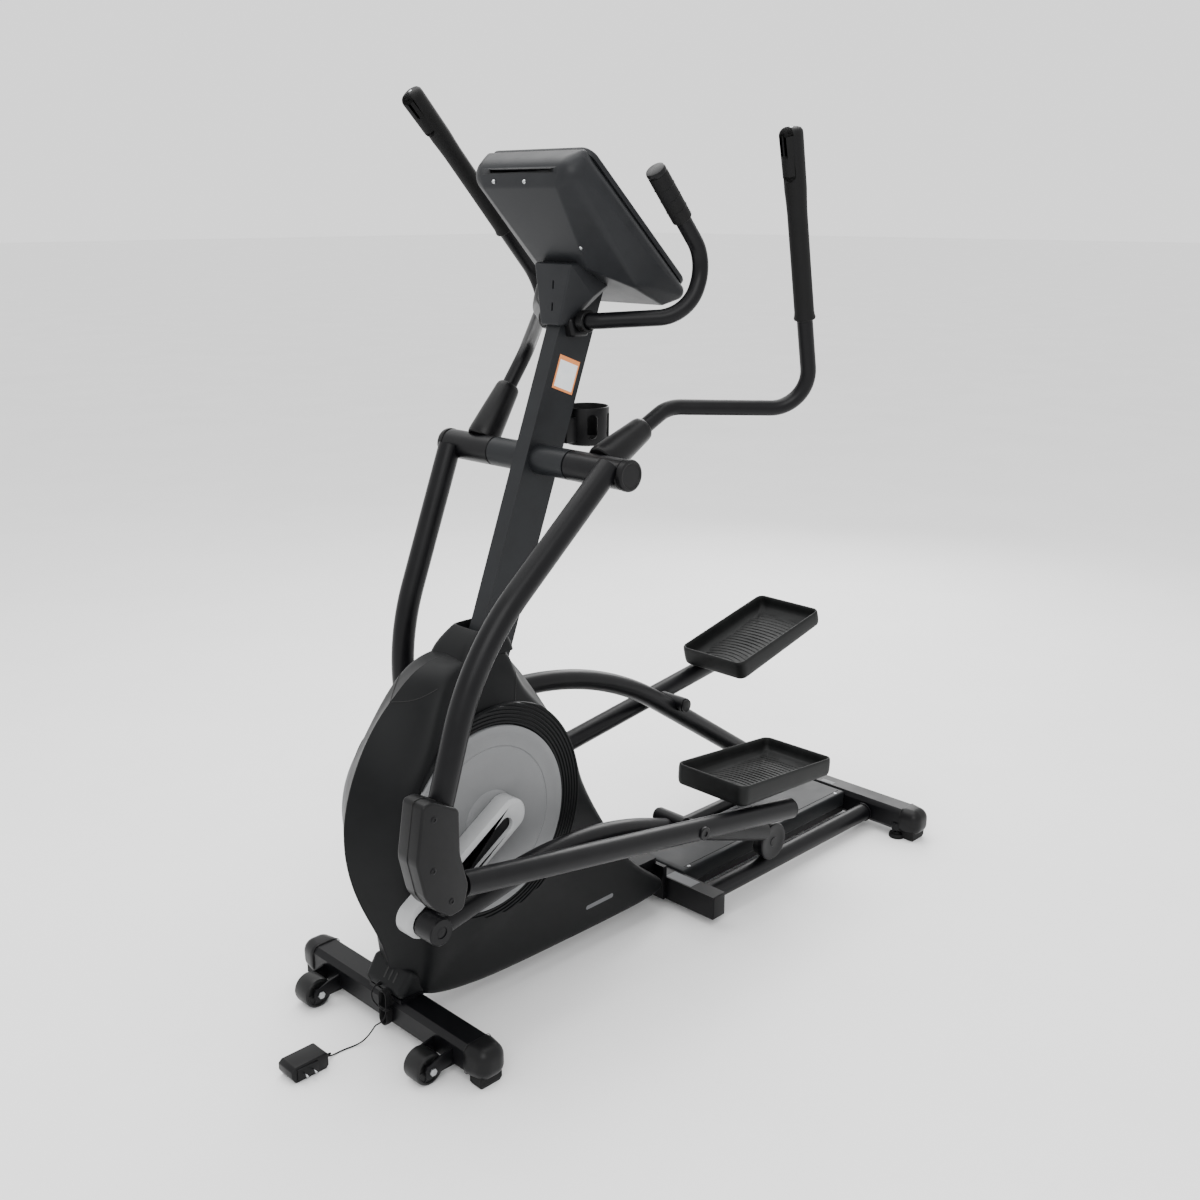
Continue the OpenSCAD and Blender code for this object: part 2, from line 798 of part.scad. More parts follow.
module bottle_holder() {
    color("#242628") on_machine() difference() {
        union() {
            translate([540, 0, 1122]) cylinder(r = 46, h = 78);
            translate([470, -14, 1130]) cube([40, 28, 52]);
        }
        translate([540, 0, 1126]) cylinder(r = 42, h = 80);
        mast_space(0);
    }
}

// ---- wheels and feet ----
module transport_wheel(s) {
    color("#191a1b") on_machine() on_side(s) {
        ring_y(wheel_axis, wheel_y - 23, wheel_y + 23, 32, 6.05);
    }
}

module transport_wheel_left() { transport_wheel(LEFT); }
module transport_wheel_right() { transport_wheel(RIGHT); }

module levelling_foot(s) {
    color("#1d1e1f") on_machine() translate([rear_x - 22, s * foot_y, 0]) {
        cylinder(r = 21, h = 12);
        cylinder(r = 4.5, h = 44);
    }
}

module levelling_foot_left() { levelling_foot(LEFT); }
module levelling_foot_right() { levelling_foot(RIGHT); }

// ---- power lead ----
socket_place = [-24, 8, 104];
lead_r = 1.5;
hank_side = -2;
hank_front = -bar_size * 0.53 - 16;
lead_route = [[-40, 8, 104], [-46, 8, 104], [-52, 8, 101], [-56, 8, 95], [-57, 8, 88], [-56, 8, 80], [-53, 8, 72],
    [-49, 8, 65], [-45, 8, 59], [-42, 6, 54], [-41, 3, 50], [-41, hank_side, 50]];
tail_route = [[hank_front, -15, 44], [-54, -15, 44], [-60, -14, 40], [-66, -13, 32], [-72, -12, 25], [-79, -11, 18],
    [-87, -9, 11], [-96, -7, 6], [-106, -4, 3], [-117, -1, 2], [-128, 1, 2], [-139, 2, 2], [-150, 2, 2],
    [-160, 1, 3], [-169, 0, 6], [-177, 0, 9], [-184, 0, 10]];

module power_socket() {
    color("#2e3032") on_machine() translate(socket_place) rotate([0, -90, 0]) difference() {
        union() {
            cylinder(r = 6, h = 10);
            cylinder(r1 = 5, r2 = 2.6, h = 16);
        }
        translate([0, 0, 6]) cylinder(r = lead_r, h = 12);
    }
}

module power_lead() {
    color("#111213") on_machine() {
        swept(lead_route, lead_r, 8, [0.2, 1, 0]);
        swept(tail_route, lead_r, 8, [0.2, 1, 0]);
    }
}

module lead_hank() {
    color("#131415") on_machine() translate([hank_front, -15, 64]) rotate([90, 0, 90]) linear_extrude(16) {
        for (z = [-27, 27]) translate([0, z]) circle(r = 13);
        square([26, 54], center = true);
    }
}

module power_adapter() {
    color("#141516") on_machine() {
        difference() {
            translate([-266, -24, 0.3]) cube([82, 48, 34]);
            translate([-270, -30, -1]) rotate([0, -30, 0]) cube([14, 60, 60]);
        }
        for (x = [-242, -223]) bar_y([x, 17], -41, -23, 2.2);
        translate([-255, -27, 4]) cube([46, 4, 26]);
    }
}

front_stabiliser();
rear_stabiliser();
stabiliser_caps();
main_frame();
mast();
shroud_left();
shroud_right();
nose_cover();
mast_collar();
swing_shaft();
swing_bushes();
shaft_caps();
rail_frame();
rail_cover();
crank_bearings();
drive_belt();
servo_motor();
console_back();
console_face();
bracket_cover();
pulse_bar();
pulse_grips();
bottle_holder();
crank_axle();
drive_pulley();
crank_discs();
crank_covers();
crank_arms();
flywheel();
brake_arm();
transport_wheel_left();
transport_wheel_right();
levelling_foot_left();
levelling_foot_right();
console_key_start();
console_key_stop();
swing_arm_left();
handle_boot_left();
handlebar_left();
grip_left();
pivot_cover_left();
pedal_arm_left();
pedal_left();
stride_rail_left();
roller_axle_left();
roller_left();
swing_arm_right();
handle_boot_right();
handlebar_right();
grip_right();
pivot_cover_right();
pedal_arm_right();
pedal_right();
stride_rail_right();
roller_axle_right();
roller_right();
power_socket();
power_lead();
lead_hank();
power_adapter();
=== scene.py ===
"""An elliptical trainer: its looks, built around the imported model.

Shapes are drawn in millimetres in a local frame and placed in the row frame, in metres, by a matrix:
MACHINE has its zero on the floor under the front stabiliser, SWING, ARM and RAIL follow the linkage,
and on those three Y points away from the machine's middle on both sides."""

import json
import math

import bmesh
import bpy
from mathutils import Matrix, Vector
from mathutils.bvhtree import BVHTree


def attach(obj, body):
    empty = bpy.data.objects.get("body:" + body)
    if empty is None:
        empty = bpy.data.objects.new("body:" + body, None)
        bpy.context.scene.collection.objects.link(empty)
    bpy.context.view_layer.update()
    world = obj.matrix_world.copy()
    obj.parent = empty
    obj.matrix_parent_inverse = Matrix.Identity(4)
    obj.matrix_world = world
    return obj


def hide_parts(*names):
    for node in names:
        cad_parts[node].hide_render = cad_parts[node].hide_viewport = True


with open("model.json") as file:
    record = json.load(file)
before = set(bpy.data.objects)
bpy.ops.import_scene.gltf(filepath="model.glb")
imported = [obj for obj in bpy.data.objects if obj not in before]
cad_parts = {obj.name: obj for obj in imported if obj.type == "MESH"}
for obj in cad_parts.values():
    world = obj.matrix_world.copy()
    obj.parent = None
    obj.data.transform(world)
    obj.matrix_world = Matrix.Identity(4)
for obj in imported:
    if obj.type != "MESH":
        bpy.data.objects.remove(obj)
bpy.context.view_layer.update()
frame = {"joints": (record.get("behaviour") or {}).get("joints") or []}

MM = 0.001
JOINTS = {joint["name"]: joint for joint in frame["joints"]}
SIDES = {"left": -1, "right": 1}


def joint_at(name):
    return Vector(JOINTS[name]["pos_m"])


# ---- places worked out from the joints ----
CRANK = joint_at("crank_spin")
CRANK_X = 160
CRANK_Z = CRANK.z / MM
CRANK_THROW = 240
CRANK_ANGLE = {"left": math.radians(212), "right": math.radians(32)}
FRONT = CRANK.x - CRANK_X * MM
MACHINE = Matrix.Translation((FRONT, 0, 0)) @ Matrix.Scale(MM, 4)


def heading(start, end):
    return math.atan2(end.z - start.z, end.x - start.x)


def in_plane(origin, angle, side):
    """A local frame turned by angle in the X-Z plane, with Y away from the middle on that side."""
    spot = Matrix.Translation((origin.x, 0, origin.z))
    mirror = Matrix.Diagonal((1, SIDES[side], 1, 1))
    return spot @ mirror @ Matrix.Rotation(-angle, 4, "Y") @ Matrix.Scale(MM, 4)


SWING, ARM, RAIL, THROW, OUTWARD = {}, {}, {}, {}, {}
for side in SIDES:
    axis = joint_at(f"{side}_swing")
    low = joint_at(f"{side}_lower_pivot")
    cross = joint_at(f"{side}_cross_pivot")
    wheel = joint_at(f"{side}_roller_spin")
    angle = CRANK_ANGLE[side]
    pin = CRANK + CRANK_THROW * MM * Vector((math.cos(angle), 0, math.sin(angle)))
    SWING[side] = in_plane(axis, heading(axis, low) + math.pi / 2, side)
    ARM[side] = in_plane(low, heading(low, cross), side)
    RAIL[side] = in_plane(pin, heading(pin, wheel), side)
    THROW[side] = in_plane(CRANK, angle, side)
    OUTWARD[side] = MACHINE @ Matrix.Diagonal((1, SIDES[side], 1, 1))
ARM_LEN = (joint_at("left_cross_pivot") - joint_at("left_lower_pivot")).xz.length / MM
SWING_LEN = (joint_at("left_lower_pivot") - joint_at("left_swing")).xz.length / MM
RAIL_LEN = 1073


# ---- camera and light ----
def make_camera():
    data = bpy.data.cameras.new("camera")
    data.lens = 40.965
    data.sensor_width = 36
    data.clip_end = 100
    camera = bpy.data.objects.new("camera", data)
    camera.location = (FRONT - 1.4275, -2.0005, 1.596)
    camera.rotation_euler = (math.radians(73.857), 0, math.radians(-45.074))
    bpy.context.scene.collection.objects.link(camera)
    bpy.context.scene.camera = camera


def area_light(name, place, target, size, power):
    data = bpy.data.lights.new(name, "AREA")
    data.shape = "RECTANGLE"
    data.size, data.size_y = size
    data.energy = power
    light = bpy.data.objects.new(name, data)
    light.location = place
    aim = Vector(target) - Vector(place)
    light.rotation_euler = aim.to_track_quat("-Z", "Y").to_euler()
    bpy.context.scene.collection.objects.link(light)


def make_studio():
    world = bpy.data.worlds.new("studio")
    world.use_nodes = True
    world.node_tree.nodes["Background"].inputs["Color"].default_value = (1, 1, 1, 1)
    world.node_tree.nodes["Background"].inputs["Strength"].default_value = 1.5
    bpy.context.scene.world = world
    area_light("key", (-2.6, -2.4, 3.4), (0, 0, 0.7), (2.4, 2.4), 90)
    area_light("top", (0.2, 0.6, 3.6), (0, 0, 0.6), (3.0, 3.0), 110)
    area_light("rim", (2.8, 1.6, 2.2), (0, 0, 0.8), (1.4, 2.4), 60)
    mesh = bmesh.new()
    bmesh.ops.create_grid(mesh, x_segments=1, y_segments=1, size=60)
    data = bpy.data.meshes.new("floor")
    mesh.to_mesh(data)
    floor = bpy.data.objects.new("floor", data)
    bpy.context.scene.collection.objects.link(floor)
    data.materials.append(studio_floor())


# ---- materials ----
def linear(code):
    """sRGB hex to linear RGBA."""
    parts = [int(code[i : i + 2], 16) / 255 for i in (1, 3, 5)]
    flat = [c / 12.92 if c <= 0.04045 else ((c + 0.055) / 1.055) ** 2.4 for c in parts]
    return (*flat, 1)


def add(tree, kind, inputs=None, **settings):
    """Adds a node with its settings, and its inputs as values or links."""
    made = tree.nodes.new(kind)
    for key, value in settings.items():
        setattr(made, key, value)
    for key, value in (inputs or {}).items():
        if isinstance(value, bpy.types.NodeSocket):
            tree.links.new(value, made.inputs[key])
        else:
            made.inputs[key].default_value = value
    return made


def finish(name, base, worn, rough, grain, depth, metallic=0.0, coat=0.0, cloud=60, stretch=(1, 1, 1),
           gloss=0.5):
    """A finish that drifts from base to worn in soft clouds (mm) and has a grain (mm) of that depth (mm)."""
    material = bpy.data.materials.new(name)
    material.use_nodes = True
    tree = material.node_tree
    shader = tree.nodes["Principled BSDF"]
    place = add(tree, "ShaderNodeTexCoord")
    clouds = add(tree, "ShaderNodeTexNoise", {"Vector": place.outputs["Object"], "Scale": 1000 / cloud,
                                              "Detail": 5.0, "Roughness": 0.6})
    tone = add(tree, "ShaderNodeValToRGB", {"Fac": clouds.outputs["Fac"]})
    tone.color_ramp.elements[0].position = 0.35
    tone.color_ramp.elements[0].color = linear(base)
    tone.color_ramp.elements[1].position = 0.72
    tone.color_ramp.elements[1].color = linear(worn)
    tree.links.new(tone.outputs["Color"], shader.inputs["Base Color"])
    sheen = add(tree, "ShaderNodeMapRange", {"Value": clouds.outputs["Fac"], "From Min": 0.3, "From Max": 0.7,
                                             "To Min": rough - 0.04, "To Max": rough + 0.05})
    tree.links.new(sheen.outputs["Result"], shader.inputs["Roughness"])
    turned = add(tree, "ShaderNodeMapping", {"Vector": place.outputs["Object"], "Scale": stretch})
    fine = add(tree, "ShaderNodeTexNoise", {"Vector": turned.outputs["Vector"], "Scale": 1000 / grain,
                                            "Detail": 3.0})
    bump = add(tree, "ShaderNodeBump", {"Height": fine.outputs["Fac"], "Strength": 0.6,
                                        "Distance": depth * MM})
    tree.links.new(bump.outputs["Normal"], shader.inputs["Normal"])
    shader.inputs["Metallic"].default_value = metallic
    shader.inputs["Specular IOR Level"].default_value = gloss
    shader.inputs["Coat Weight"].default_value = coat
    shader.inputs["Coat Roughness"].default_value = 0.2
    return material


def studio_floor():
    # matt pale floor paint, slightly mottled
    return finish("studio_floor", "#f4f4f4", "#f0f0f0", 0.8, 4, 0.02, cloud=600)


# satin black powder coat on steel tube: faint orange peel about 1.5 mm across
powder_coat = finish("satin_black_powder_coat", "#08080a", "#0c0c0e", 0.36, 1.5, 0.05, gloss=0.16)
# dark grey powder coat of the mast, a little lighter and smoother
mast_coat = finish("dark_grey_powder_coat", "#18191b", "#1c1e20", 0.42, 1.5, 0.04, gloss=0.16)
# black ABS with a fine moulded spark grain of about 1 mm
shroud_abs = finish("grained_black_abs", "#090a0b", "#0e0f10", 0.46, 1.0, 0.06, gloss=0.12)
# smooth satin black ABS of caps, boots and covers
cover_abs = finish("satin_black_abs", "#0c0c0d", "#111112", 0.36, 1.2, 0.03, gloss=0.16)
# dark grey ABS of the console's housing
console_abs = finish("dark_grey_abs", "#1c1d1f", "#212224", 0.42, 1.0, 0.05, gloss=0.16)
# mid grey ABS of the crank discs
disc_abs = finish("mid_grey_abs", "#68696a", "#707172", 0.46, 1.0, 0.05, cloud=120, gloss=0.25)
# light grey painted ABS of the crank covers
crank_abs = finish("light_grey_abs", "#909192", "#98999a", 0.38, 1.2, 0.03, gloss=0.4)
# black polypropylene of the foot trays, rubbed a little greyer
tray_pp = finish("black_polypropylene", "#0c0d0d", "#151616", 0.5, 0.9, 0.08, cloud=40, gloss=0.16)
# soft black thermoplastic rubber of the grips
grip_rubber = finish("soft_black_rubber", "#090909", "#0e0e0f", 0.6, 0.8, 0.08, gloss=0.16)
# hard black nylon of rollers and transport wheels, scuffed
nylon = finish("black_nylon", "#0b0b0c", "#141515", 0.4, 1.0, 0.04, cloud=25, gloss=0.25)
# turned steel: fine rings smeared round the axis
turned_steel = finish("turned_steel", "#8f9193", "#9c9ea0", 0.3, 0.8, 0.02, metallic=1.0, stretch=(1, 12, 1))
# machined grey cast iron of the flywheel
cast_iron = finish("machined_cast_iron", "#5c5e60", "#686a6c", 0.5, 1.2, 0.08, metallic=1.0)
# sintered bronze bushes
bronze = finish("sintered_bronze", "#8a6f3c", "#977b46", 0.45, 0.8, 0.03, metallic=1.0)
# zinc-plated screws
zinc = finish("zinc_plate", "#a9abad", "#b5b7b8", 0.28, 0.7, 0.02, metallic=1.0)
# soft PVC sleeve of the power lead
lead_pvc = finish("black_pvc", "#080809", "#0c0c0d", 0.45, 1.0, 0.03, gloss=0.16)
# glossy black acrylic of the display
display_acrylic = finish("black_acrylic", "#050506", "#08090a", 0.14, 20, 0.002, coat=0.2, gloss=0.3)
# grey-green liquid-crystal fields behind the acrylic
display_field = finish("liquid_crystal_field", "#3d4540", "#424a45", 0.25, 1.5, 0.005, gloss=0.4)
# painted shade: a near-black matt finish for thin strips and plates laid where a seam, gap or slot would only
# show shade
shadow_gap = finish("shadow_gap", "#060606", "#080808", 0.8, 2, 0.02)
# grey vinyl decal
decal_vinyl = finish("grey_vinyl", "#5a5b5d", "#626365", 0.4, 1.5, 0.01, gloss=0.16)
# pale paper label and its orange border
label_paper = finish("pale_paper", "#d9dde0", "#e4e6e6", 0.55, 0.6, 0.01, cloud=15)
label_border = finish("orange_ink", "#d07a3c", "#da8848", 0.5, 0.6, 0.01)
# grey rubber keys
key_rubber = finish("grey_key_rubber", "#5c5f62", "#65686a", 0.5, 0.8, 0.03)


# ---- shape tools ----
def block(bm, low, high):
    """A box between two corners."""
    low, high = Vector(low), Vector(high)
    size = Matrix.Diagonal((*(high - low), 1))
    return bmesh.ops.create_cube(bm, size=1, matrix=Matrix.Translation((low + high) / 2) @ size)["verts"]


def turned(bm, profile, steps=64, place=Matrix.Identity(4), axis="Y"):
    """A closed profile of (radius, along) points spun round an axis through the place's zero."""
    start = [(r, a, 0) if axis == "Y" else (r, 0, a) for r, a in profile]
    verts = [bm.verts.new(p) for p in start]
    edges = [bm.edges.new((a, b)) for a, b in zip(verts, verts[1:] + verts[:1])]
    before = set(bm.verts) - set(verts)
    bmesh.ops.spin(bm, geom=verts + edges, cent=(0, 0, 0), axis=(0, 1, 0) if axis == "Y" else (0, 0, 1),
                   angle=2 * math.pi, steps=steps, use_merge=True)
    made = [v for v in bm.verts if v not in before]
    bmesh.ops.remove_doubles(bm, verts=made, dist=0.001)
    made = [v for v in bm.verts if v not in before]
    bmesh.ops.transform(bm, matrix=place, verts=made)
    return made


def solid_round(radius, start, end, edge=1.5):
    """The profile of a round bar with softened ends."""
    return [(0, start), (radius - edge, start), (radius - edge * 0.3, start + edge * 0.3),
            (radius, start + edge),
            (radius, end - edge), (radius - edge * 0.3, end - edge * 0.3), (radius - edge, end), (0, end)]


def plate(bm, outline, start, end):
    """An outline of (x, z) points made a plate between two places along Y."""
    face = bm.faces.new([bm.verts.new((x, start, z)) for x, z in outline])
    side = bmesh.ops.extrude_face_region(bm, geom=[face])["geom"]
    moved = [v for v in side if isinstance(v, bmesh.types.BMVert)]
    bmesh.ops.translate(bm, vec=(0, end - start, 0), verts=moved)
    return list(face.verts) + moved


def soften(bm, width, segments=3, over=25):
    """Rounds every edge that turns by more than the given angle."""
    bmesh.ops.recalc_face_normals(bm, faces=bm.faces)
    sharp = [e for e in bm.edges if e.is_manifold and e.calc_face_angle(0) > math.radians(over)]
    bmesh.ops.bevel(bm, geom=sharp, offset=width, offset_type="OFFSET", affect="EDGES", segments=segments,
                    profile=0.5, material=-1, clamp_overlap=True)


def stadium(x0, x1, radius, steps=14, z=0):
    """Outline of a slot along X."""
    ends = []
    for centre, start in ((x1, -90), (x0, 90)):
        for k in range(steps + 1):
            a = math.radians(start + 180 * k / steps)
            ends.append((centre + radius * math.cos(a), z + radius * math.sin(a)))
    return ends


def rounded_box(length, width, radius, steps=6):
    """Outline of a rectangle with round corners, about zero."""
    points = []
    for cx, cy, start in ((1, 1, 0), (-1, 1, 90), (-1, -1, 180), (1, -1, 270)):
        for k in range(steps + 1):
            a = math.radians(start + 90 * k / steps)
            points.append((cx * (length / 2 - radius) + radius * math.cos(a),
                           cy * (width / 2 - radius) + radius * math.sin(a)))
    return points


def rounded_path(corners, bend, steps=10):
    """Points along straight runs joined by arcs of radius bend."""
    corners = [Vector(c) for c in corners]
    points = [corners[0]]
    for before, corner, after in zip(corners, corners[1:], corners[2:]):
        u, v = (before - corner).normalized(), (after - corner).normalized()
        half = u.angle(v) / 2
        middle, across = (u + v).normalized(), (v - u).normalized()
        centre = corner + middle * bend / math.sin(half)
        for k in range(-steps, steps + 1, 2):
            a = k / steps * (math.pi / 2 - half)
            points.append(centre + bend * (across * math.sin(a) - middle * math.cos(a)))
    return points + [corners[-1]]


def pipe(bm, points, radius, sides=24, ends=True):
    """A round tube along points, closed at both ends."""
    curve = bpy.data.curves.new("run", "CURVE")
    curve.dimensions = "3D"
    curve.bevel_depth = radius
    curve.bevel_resolution = sides // 4 - 1
    curve.use_fill_caps = ends
    run = curve.splines.new("POLY")
    run.points.add(len(points) - 1)
    for spot, p in zip(run.points, points):
        spot.co = (*p, 1)
    holder = bpy.data.objects.new("run", curve)
    mesh = bpy.data.meshes.new_from_object(holder)
    before = set(bm.verts)
    bm.from_mesh(mesh)
    bpy.data.objects.remove(holder)
    bpy.data.curves.remove(curve)
    bpy.data.meshes.remove(mesh)
    made = [v for v in bm.verts if v not in before]
    bmesh.ops.remove_doubles(bm, verts=made, dist=0.001)
    return [v for v in bm.verts if v not in before]


def along(start, end):
    """A frame whose Z runs from start to end."""
    start, end = Vector(start), Vector(end)
    return Matrix.Translation(start) @ (end - start).to_track_quat("Z", "Y").to_matrix().to_4x4()


def to_object(name, bm):
    data = bpy.data.meshes.new(name)
    bm.to_mesh(data)
    bm.free()
    made = bpy.data.objects.new(name, data)
    bpy.context.scene.collection.objects.link(made)
    return made


def evaluated(bm, modifiers):
    """The mesh after modifiers, each a (type, settings) pair."""
    holder = to_object("work", bm)
    for kind, settings in modifiers:
        step = holder.modifiers.new(kind, kind)
        for key, value in settings.items():
            setattr(step, key, value)
    mesh = bpy.data.meshes.new_from_object(holder.evaluated_get(bpy.context.evaluated_depsgraph_get()))
    result = bmesh.new()
    result.from_mesh(mesh)
    bpy.data.objects.remove(holder)
    bpy.data.meshes.remove(mesh)
    return result


def cut(bm, cutter, operation="DIFFERENCE"):
    """bm with cutter taken away, or only what they share."""
    for mesh in (bm, cutter):
        bmesh.ops.recalc_face_normals(mesh, faces=mesh.faces)
    tool = to_object("cutter", cutter)
    bpy.context.view_layer.update()
    result = evaluated(bm, [("BOOLEAN", {"object": tool, "operation": operation, "solver": "EXACT"})])
    bpy.data.objects.remove(tool)
    return result


def add_mesh(bm, part):
    """Puts a finished part into bm."""
    mesh = bpy.data.meshes.new("part")
    part.to_mesh(mesh)
    part.free()
    bm.from_mesh(mesh)
    bpy.data.meshes.remove(mesh)


def surface_of(target):
    """A search tree over a finished piece's faces, for laying lines and labels on it."""
    mesh = target.data
    return BVHTree.FromPolygons([v.co for v in mesh.vertices], [tuple(p.vertices) for p in mesh.polygons])


def piece(name, bm, place, material, body, stands_for=(), sharp=32):
    """Places a shape, gives it its material and body, and hides the CAD nodes that it stands for."""
    bm.transform(place)
    bmesh.ops.recalc_face_normals(bm, faces=bm.faces)
    made = to_object(name, bm)
    made.data.materials.append(material)
    made.data.polygons.foreach_set("use_smooth", [True] * len(made.data.polygons))
    made.data.set_sharp_from_angle(angle=math.radians(sharp))
    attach(made, body)
    if stands_for:
        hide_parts(*stands_for)
    return made


make_camera()
make_studio()


# ---- power lead: inlet, lead, tied hank, tail and adapter ----
LEAD_R = 1.5
LEAD_OUT = [(-40, 8, 104), (-43, 8, 104), (-46, 8, 104), (-52, 8, 101), (-56, 8, 95), (-57, 8, 88),
            (-56, 8, 80),
            (-53, 8, 72), (-49, 8, 65), (-45, 8, 59), (-42, 6, 54), (-41, 3, 50)]
LEAD_TAIL = [(-66, -13, 32), (-72, -12, 25), (-79, -11, 18), (-87, -9, 11), (-96, -7, 6), (-106, -4, 3),
             (-117, -1, 2), (-128, 1, 2), (-139, 2, 2), (-150, 2, 2), (-160, 1, 3), (-169, 0, 6),
             (-177, 0, 9),
             (-184, 0, 10), (-198, 0, 12), (-211, 0, 14), (-225, 0, 16)]
HANK = Vector((-40.9, -15, 64))
HANK_TURNS = 9


def hank_winding():
    """Turns beside and on each other: long straight runs with a round fold at each end."""
    points = []
    folds = 8
    for turn in range(HANK_TURNS):
        radius, next_radius = (11.5, 9.0) if turn % 2 == 0 else (9.0, 11.5)
        x = 6.4 - 1.6 * turn
        following = x - 1.6
        loop = []
        for k in range(6):
            loop.append((0.0, -1, k / 6))
        for k in range(folds + 1):
            loop.append((180 * k / folds, 1, None))
        for k in range(1, 6):
            loop.append((180.0, 1, 1 - k / 6))
        for k in range(folds):
            loop.append((180 + 180 * k / folds, -1, None))
        for n, (angle, end, run) in enumerate(loop):
            share = max(0.0, (n - len(loop) + 14) / 14)
            r = radius + (next_radius - radius) * share
            depth = x + (following - x) * share
            a = math.radians(angle)
            z = 27 * end if run is None else -27 + 54 * run
            points.append(HANK + Vector((depth, r * math.cos(a),
                                         z + (r * math.sin(a) if run is None else 0))))
    # the last turn comes over the top fold and a third of the way down, and leaves from there
    return points[:-11]


def make_lead():
    winding = hank_winding()
    leave = [(-48, -26.4, 64), (-49, -26, 55), (-52, -24.5, 47), (-56.5, -21.5, 40), (-61, -17.5, 35.8)]
    points = [MACHINE @ Vector(p) for p in [*LEAD_OUT, *winding, *leave, *LEAD_TAIL]]
    total = sum((b - a).length for a, b in zip(points, points[1:]))
    print("lead runs", round(total, 4), "m")
    curve = bpy.data.curves.new("power_lead", "CURVE")
    curve.dimensions = "3D"
    curve.bevel_depth = LEAD_R * MM
    curve.bevel_resolution = 2
    curve.use_fill_caps = True
    run = curve.splines.new("NURBS")
    run.points.add(len(points) - 1)
    for spot, p in zip(run.points, points):
        spot.co = (*p, 1)
    run.order_u = 3
    run.use_endpoint_u = True
    run.resolution_u = 3
    lead = bpy.data.objects.new("power_lead_run", curve)
    bpy.context.scene.collection.objects.link(lead)
    lead.data.materials.append(lead_pvc)
    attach(lead, "frame")
    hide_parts("power_lead", "lead_hank")
    return lead, total


def make_socket():
    bm = bmesh.new()
    relief = [(LEAD_R, 0), (6, 0), (6, 9), (5.4, 10)]
    for k in range(5):
        relief += [(4.8 - 0.45 * k, 10.6 + 1.9 * k), (4.8 - 0.45 * k, 11.8 + 1.9 * k),
                   (4.1 - 0.4 * k, 11.9 + 1.9 * k),
                   (4.1 - 0.4 * k, 12.4 + 1.9 * k)]
    relief += [(2.2, 20.5), (LEAD_R, 20.5)]
    spot = Matrix.Translation((-24, 8, 104)) @ Matrix.Rotation(math.radians(-90), 4, "Y")
    turned(bm, relief, 32, spot, axis="Z")
    return piece("inlet_and_strain_relief", bm, MACHINE, cover_abs, "frame",
                 ["power_socket"])


def make_adapter():
    bm = bmesh.new()
    side = [(-266, 14), (-258, 0.5), (-190, 0.5), (-184, 6), (-184, 30), (-188, 34), (-258, 34), (-266, 28)]
    plate(bm, side, -24, 24)
    soften(bm, 2.2)
    adapter = piece("adapter_case", bm, MACHINE, cover_abs, "frame", ["power_adapter"])
    bm = bmesh.new()
    block(bm, (-255, -26.6, 5), (-209, -23.5, 29))
    soften(bm, 0.8, 2)
    plate_piece = piece("adapter_plate", bm, MACHINE, cover_abs, "frame")
    bm = bmesh.new()
    for x in (-242, -223):
        spot = Matrix.Translation((x, 0, 17))
        turned(bm, solid_round(2.2, -41, -26, 1), 24, spot)
    pins = piece("adapter_pins", bm, MACHINE, zinc, "frame")
    bm = bmesh.new()
    tail = [(LEAD_R, -184), (3.6, -184.5), (3.6, -181), (3.0, -176), (2.6, -170), (2.1, -164), (LEAD_R, -164)]
    turned(bm, [(r, x + 184) for r, x in tail], 24, Matrix.Translation((-184, 0, 10)) @
           Matrix.Rotation(math.radians(90), 4, "Y"), axis="Z")
    boot = piece("adapter_strain_relief", bm, MACHINE, lead_pvc, "frame")
    return [adapter, plate_piece, pins, boot]


def make_tie():
    """A wrapped wire tie round the middle of the hank."""
    bm = bmesh.new()
    ring = rounded_box(18.8, 29, 6)
    for z, width in ((64, 3.0), (67.4, 2.6)):
        loop = [(HANK.x + x, HANK.y + y, z) for x, y in ring]
        pipe(bm, [*loop, loop[0]], width / 2, 12, ends=False)
    ends = [(-51.5, -20, 65), (-56, -16, 70), (-55, -12, 76)]
    pipe(bm, ends, 1.2, 12)
    return piece("hank_tie", bm, MACHINE, cover_abs, "frame")


lead, lead_length = make_lead()
socket = make_socket()
adapter_pieces = make_adapter()
tie = make_tie()


# ---- shroud ----
# each station: the middle of the cover (x, z), its shoulder (x, z) and the half width there
SHROUD = [((470, 440), (440, 436), 90), ((455, 500), (424, 505), 92), ((445, 510), (394, 544), 92),
          ((381, 608), (340, 615), 86), ((330, 672), (292, 660), 76), ((298, 715), (276, 712), 62),
          ((288, 752), (268, 752), 54), ((215, 752), (215, 752), 54), ((100, 756), (112, 752), 52),
          ((35, 700), (56, 690), 62), ((-20, 640), (10, 600), 80), ((-66, 565), (-26, 545), 98),
          ((-90, 490), (-42, 487), 103), ((-95, 420), (-47, 430), 104), ((-82, 345), (-40, 370), 102),
          ((-55, 275), (-22, 310), 96), ((-28, 215), (0, 240), 88), ((-12, 150), (4, 160), 80),
          ((-10, 95), (4, 100), 76), ((0, 88), (14, 86), 74), ((40, 60), (44, 66), 74),
          ((160, 38), (160, 48), 76),
          ((400, 38), (400, 48), 76), ((640, 40), (640, 50), 74), ((722, 52), (715, 58), 72),
          ((728, 84), (716, 90), 72), ((680, 112), (668, 116), 74), ((600, 190), (588, 188), 78),
          ((541, 293), (528, 285), 82), ((500, 370), (480, 360), 86)]
SHROUD_SPINE = [(215, 700), (190, 600), (160, 450), (300, 260), (500, 120), (680, 80)]


